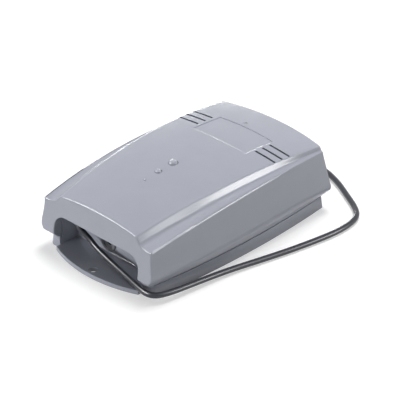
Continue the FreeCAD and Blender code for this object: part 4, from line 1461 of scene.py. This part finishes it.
@dataclass(frozen=True)
class Lamp:
    """One soft lamp: an oblong that faces the piece. Sizes in metres, power in watts."""

    name: str
    place: tuple[float, float, float]
    size: tuple[float, float]
    power: float
    light: Light

    def build(self, centre: Vector) -> None:
        """Hang the lamp with its long side level.

        Args:
            centre: the point it faces.
        """
        data = bpy.data.lights.new(self.name, "AREA")
        data.shape = "RECTANGLE"
        data.size, data.size_y = self.size
        data.energy = self.power
        made = linked(self.name, data)
        made.location = self.place
        made.visible_glossy = self.light is Light.SHEEN
        made.visible_diffuse = self.light is Light.SOFT
        made.rotation_mode = "QUATERNION"
        made.rotation_quaternion = (centre - Vector(self.place)).to_track_quat("-Z", "Y")


@dataclass
class Studio:
    """Plain pale floor, soft lights and the camera at the photographed angle. Sizes in metres."""

    floor_size: float = 6.0
    floor_level: float = -0.0001
    floor_tone: float = 0.62
    floor_roughness: float = 0.9
    floor_glow: float = 0.45
    camera_distance: float = 1.11277
    camera_azimuth: float = 45.05
    camera_elevation: float = 30.24
    target: tuple[float, float, float] = (0.00544, 0.06276, 0.015)
    lens: float = 216.0
    lamps: tuple[Lamp, ...] = (
        Lamp("overhead", (-0.12, 0.36, 0.86), (0.40, 0.40), 7.6, Light.SOFT),
        Lamp("front_fill", (-0.48, -1.10, 0.10), (0.40, 0.22), 8.1, Light.SOFT),
        Lamp("right_fill", (1.10, 0.25, 0.45), (0.50, 0.40), 2.2, Light.SOFT),
        Lamp("rear_right", (0.78, 0.60, 0.36), (0.34, 0.44), 6.6, Light.SHEEN),
        Lamp("upper_right", (0.72, 0.32, 0.70), (0.30, 0.26), 1.8, Light.SHEEN),
        Lamp("rear_left", (-0.90, 0.74, 0.05), (0.30, 0.10), 3.0, Light.SHEEN),
        Lamp("front_top", (-0.38, -0.66, 0.65), (0.38, 0.30), 11.0, Light.SHEEN),
        Lamp("front_left", (-0.66, -0.42, 0.66), (0.40, 0.30), 9.0, Light.SHEEN),
        Lamp("rear_low", (-0.67, 0.93, 0.08), (0.22, 0.08), 0.4, Light.SHEEN),
    )
    sky: float = 0.22

    @staticmethod
    def either(
        tree: bpy.types.ShaderNodeTree, first: bpy.types.NodeSocket, second: bpy.types.NodeSocket
    ) -> bpy.types.NodeSocket:
        """Join two masks: the result is 1 where one of them is.

        Args:
            tree: the nodes to add to.
            first: one mask.
            second: the other mask.

        Returns:
            The joint mask's socket.
        """
        made = tree.nodes.new("ShaderNodeMath")
        made.operation = "MAXIMUM"
        tree.links.new(first, made.inputs[0])
        tree.links.new(second, made.inputs[1])
        return made.outputs["Value"]

    @staticmethod
    def mixed(
        tree: bpy.types.ShaderNodeTree, mask: bpy.types.NodeSocket, off: bpy.types.Node, on: bpy.types.Node
    ) -> bpy.types.NodeSocket:
        """Choose between two shaders.

        Args:
            tree: the nodes to add to.
            mask: 0 gives the first shader, 1 the second.
            off: the first shader's node.
            on: the second shader's node.

        Returns:
            The chosen shader's socket.
        """
        made = tree.nodes.new("ShaderNodeMixShader")
        tree.links.new(mask, made.inputs["Fac"])
        tree.links.new(off.outputs[0], made.inputs[1])
        tree.links.new(on.outputs[0], made.inputs[2])
        return made.outputs["Shader"]

    def floor_finish(self) -> bpy.types.Material:
        """The floor's material: a pale matt tone that also glows, for the camera and in reflections.

        Returns:
            The material.
        """
        material = bpy.data.materials.new("pale_floor")
        material.use_nodes = True
        tree = material.node_tree
        shader = tree.nodes["Principled BSDF"]
        shader.inputs["Base Color"].default_value = (self.floor_tone,) * 3 + (1,)
        shader.inputs["Roughness"].default_value = self.floor_roughness
        glow, dark = (tree.nodes.new("ShaderNodeEmission") for _ in range(2))
        glow.inputs["Strength"].default_value = self.floor_glow
        dark.inputs["Strength"].default_value = 0.0
        rays = tree.nodes.new("ShaderNodeLightPath").outputs
        seen = self.either(tree, rays["Is Camera Ray"], rays["Is Glossy Ray"])
        both = tree.nodes.new("ShaderNodeAddShader")
        tree.links.new(shader.outputs["BSDF"], both.inputs[0])
        tree.links.new(self.mixed(tree, seen, dark, glow), both.inputs[1])
        tree.links.new(both.outputs["Shader"], tree.nodes["Material Output"].inputs["Surface"])
        return material

    def floor(self) -> None:
        """Lay a flat pale floor just under the piece; seen by the camera its lit part is white."""
        half, z = self.floor_size / 2, self.floor_level
        mesh = bpy.data.meshes.new("pale_floor")
        corners = [(-half, -half, z), (half, -half, z), (half, half, z), (-half, half, z)]
        mesh.from_pydata(corners, [], [(0, 1, 2, 3)])
        mesh.materials.append(self.floor_finish())
        linked("pale_floor", mesh)

    def world(self) -> None:
        """Light the piece softly from all round; the camera and reflections see white beyond the floor."""
        world = bpy.data.worlds.new("soft_room")
        bpy.context.scene.world = world
        world.use_nodes = True
        tree = world.node_tree
        light = tree.nodes["Background"]
        light.inputs["Color"].default_value = (1, 1, 1, 1)
        light.inputs["Strength"].default_value = self.sky
        white = tree.nodes.new("ShaderNodeBackground")
        white.inputs["Strength"].default_value = 1.0
        rays = tree.nodes.new("ShaderNodeLightPath").outputs
        seen = self.either(tree, rays["Is Camera Ray"], rays["Is Transmission Ray"])
        shown = self.either(tree, seen, rays["Is Glossy Ray"])
        tree.links.new(self.mixed(tree, shown, light, white), tree.nodes["World Output"].inputs["Surface"])

    def camera(self) -> None:
        """Place the camera on the line back from the target at its azimuth and elevation."""
        turn, rise = math.radians(self.camera_azimuth), math.radians(self.camera_elevation)
        level = math.cos(rise)
        back = Vector((math.sin(turn) * level, -math.cos(turn) * level, math.sin(rise)))
        data = bpy.data.cameras.new("camera")
        data.lens = self.lens
        data.sensor_width = 36.0
        data.clip_start = 0.05
        data.clip_end = 20.0
        camera = linked("camera", data)
        camera.location = Vector(self.target) + back * self.camera_distance
        camera.rotation_mode = "QUATERNION"
        camera.rotation_quaternion = (-back).to_track_quat("-Z", "Y")
        bpy.context.scene.camera = camera

    def build(self) -> None:
        """Make the camera, the floor, the world and the lamps."""
        bpy.context.scene.view_settings.view_transform = "Standard"
        self.camera()
        self.floor()
        self.world()
        for lamp in self.lamps:
            lamp.build(Vector(self.target))
        LOG.info("studio: %d lamps", len(self.lamps))


@dataclass
class DressedNodes:
    """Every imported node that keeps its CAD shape, with the width its edges are rounded by.

    Crisp nodes have wide flat faces with many holes, so their edges stay sharp from a small angle.
    """

    sharp_angle: float = 20.0
    crisp_angle: float = 12.0
    crisp: tuple[str, ...] = ("base_tray", "terminal_block_housing")
    remade: tuple[str, ...] = ("antenna_lead", "top_cover", "smoothing_capacitors")
    rounding: dict[str, float] = field(
        default_factory=lambda: {
            "cable_grommet": 0.3,
            "left_relay_base": 0.15,
            "right_relay_base": 0.15,
            "dip_switch_body": 0.12,
            "dip_slider_1": 0.1,
            "dip_slider_2": 0.1,
            "learn_button_body": 0.12,
            "microcontroller": 0.04,
            "radio_module": 0.06,
        }
    )
    zones: dict[str, tuple[Zone, ...]] = field(
        default_factory=lambda: {
            "fuse": (
                Zone("tinned_brass", (-20.1, 60, 8), (-14.9, 70, 15)),
                Zone("tinned_brass", (-5.1, 60, 8), (0.1, 70, 15)),
            ),
            "voltage_regulator": (
                Zone("lead_wire", (-6, 92, 20.05), (5, 97, 27)),
                Zone("lead_wire", (-6, 92, 8), (5, 97, 11.05)),
            ),
            "diodes": (
                Zone("lead_wire", (-24, 42, 8), (-21, 44.25, 12)),
                Zone("lead_wire", (-24, 49.35, 8), (-21, 54.75, 12)),
                Zone("lead_wire", (-24, 59.85, 8), (-21, 62, 12)),
                Zone("pale_band", (-24, 48.0, 8), (-21, 48.8, 12), "y"),
                Zone("pale_band", (-24, 58.5, 8), (-21, 59.3, 12), "y"),
            ),
            "microcontroller": (
                Zone("lead_wire", (-17.3, 70, 8), (-15.8, 81, 11)),
                Zone("lead_wire", (-8.2, 70, 8), (-6.7, 81, 11)),
            ),
            "antenna_lead_inner": (Zone("copper_winding", (-24, 82.2, 8), (-18, 84.2, 16), "y"),),
            "chip_resistors": (
                Zone("lead_wire", (-19.5, 70, 8), (-19.1, 81, 9), "x"),
                Zone("lead_wire", (-18.1, 70, 8), (-17.7, 81, 9), "x"),
            ),
        }
    )

    def build(self) -> None:
        """Dress each node in turn with the finish of its own slot, apart from those made anew."""
        boxes = [
            MouldedBox("left_relay_case", "relay_blue", skirt=1.3, wall=0.7, vent=0.8),
            MouldedBox("right_relay_case", "relay_blue", skirt=1.3, wall=0.7, vent=0.8),
            MouldedBox("mains_transformer", "potting", corner=1.4, edge=0.5, rim=1.1, sunk=0.6),
            MouldedBox("radio_shield", "shield_tin", corner=0.6, edge=0.25, draft=0.05, rim=0.8, sunk=0.15),
        ]
        done = {box.node for box in boxes} | set(self.remade)
        for box in boxes:
            box.build()
        for part in frame["record"]["subparts"]:
            node = part["node"]
            if node in done:
                continue
            angle = self.crisp_angle if node in self.crisp else self.sharp_angle
            rounded, zones = self.rounding.get(node, 0.0), self.zones.get(node, ())
            Piece(node, part["material_slot"], rounded, zones, angle).build()


def main() -> None:
    """Build the finishes, the pieces and the studio in order."""
    logging.basicConfig(level=logging.INFO, format="%(name)s: %(message)s")
    for group in (mottle_group, grain_group, brushed_group, wound_group, tracks_group):
        group()
    for finish in FINISHES.values():
        finish.build()
    Studio().build()
    AntennaLead().build()
    CoverShell().build()
    SmoothingCapacitors().build()
    FuseWire().build()
    DressedNodes().build()


if __name__ == "__main__":
    main()
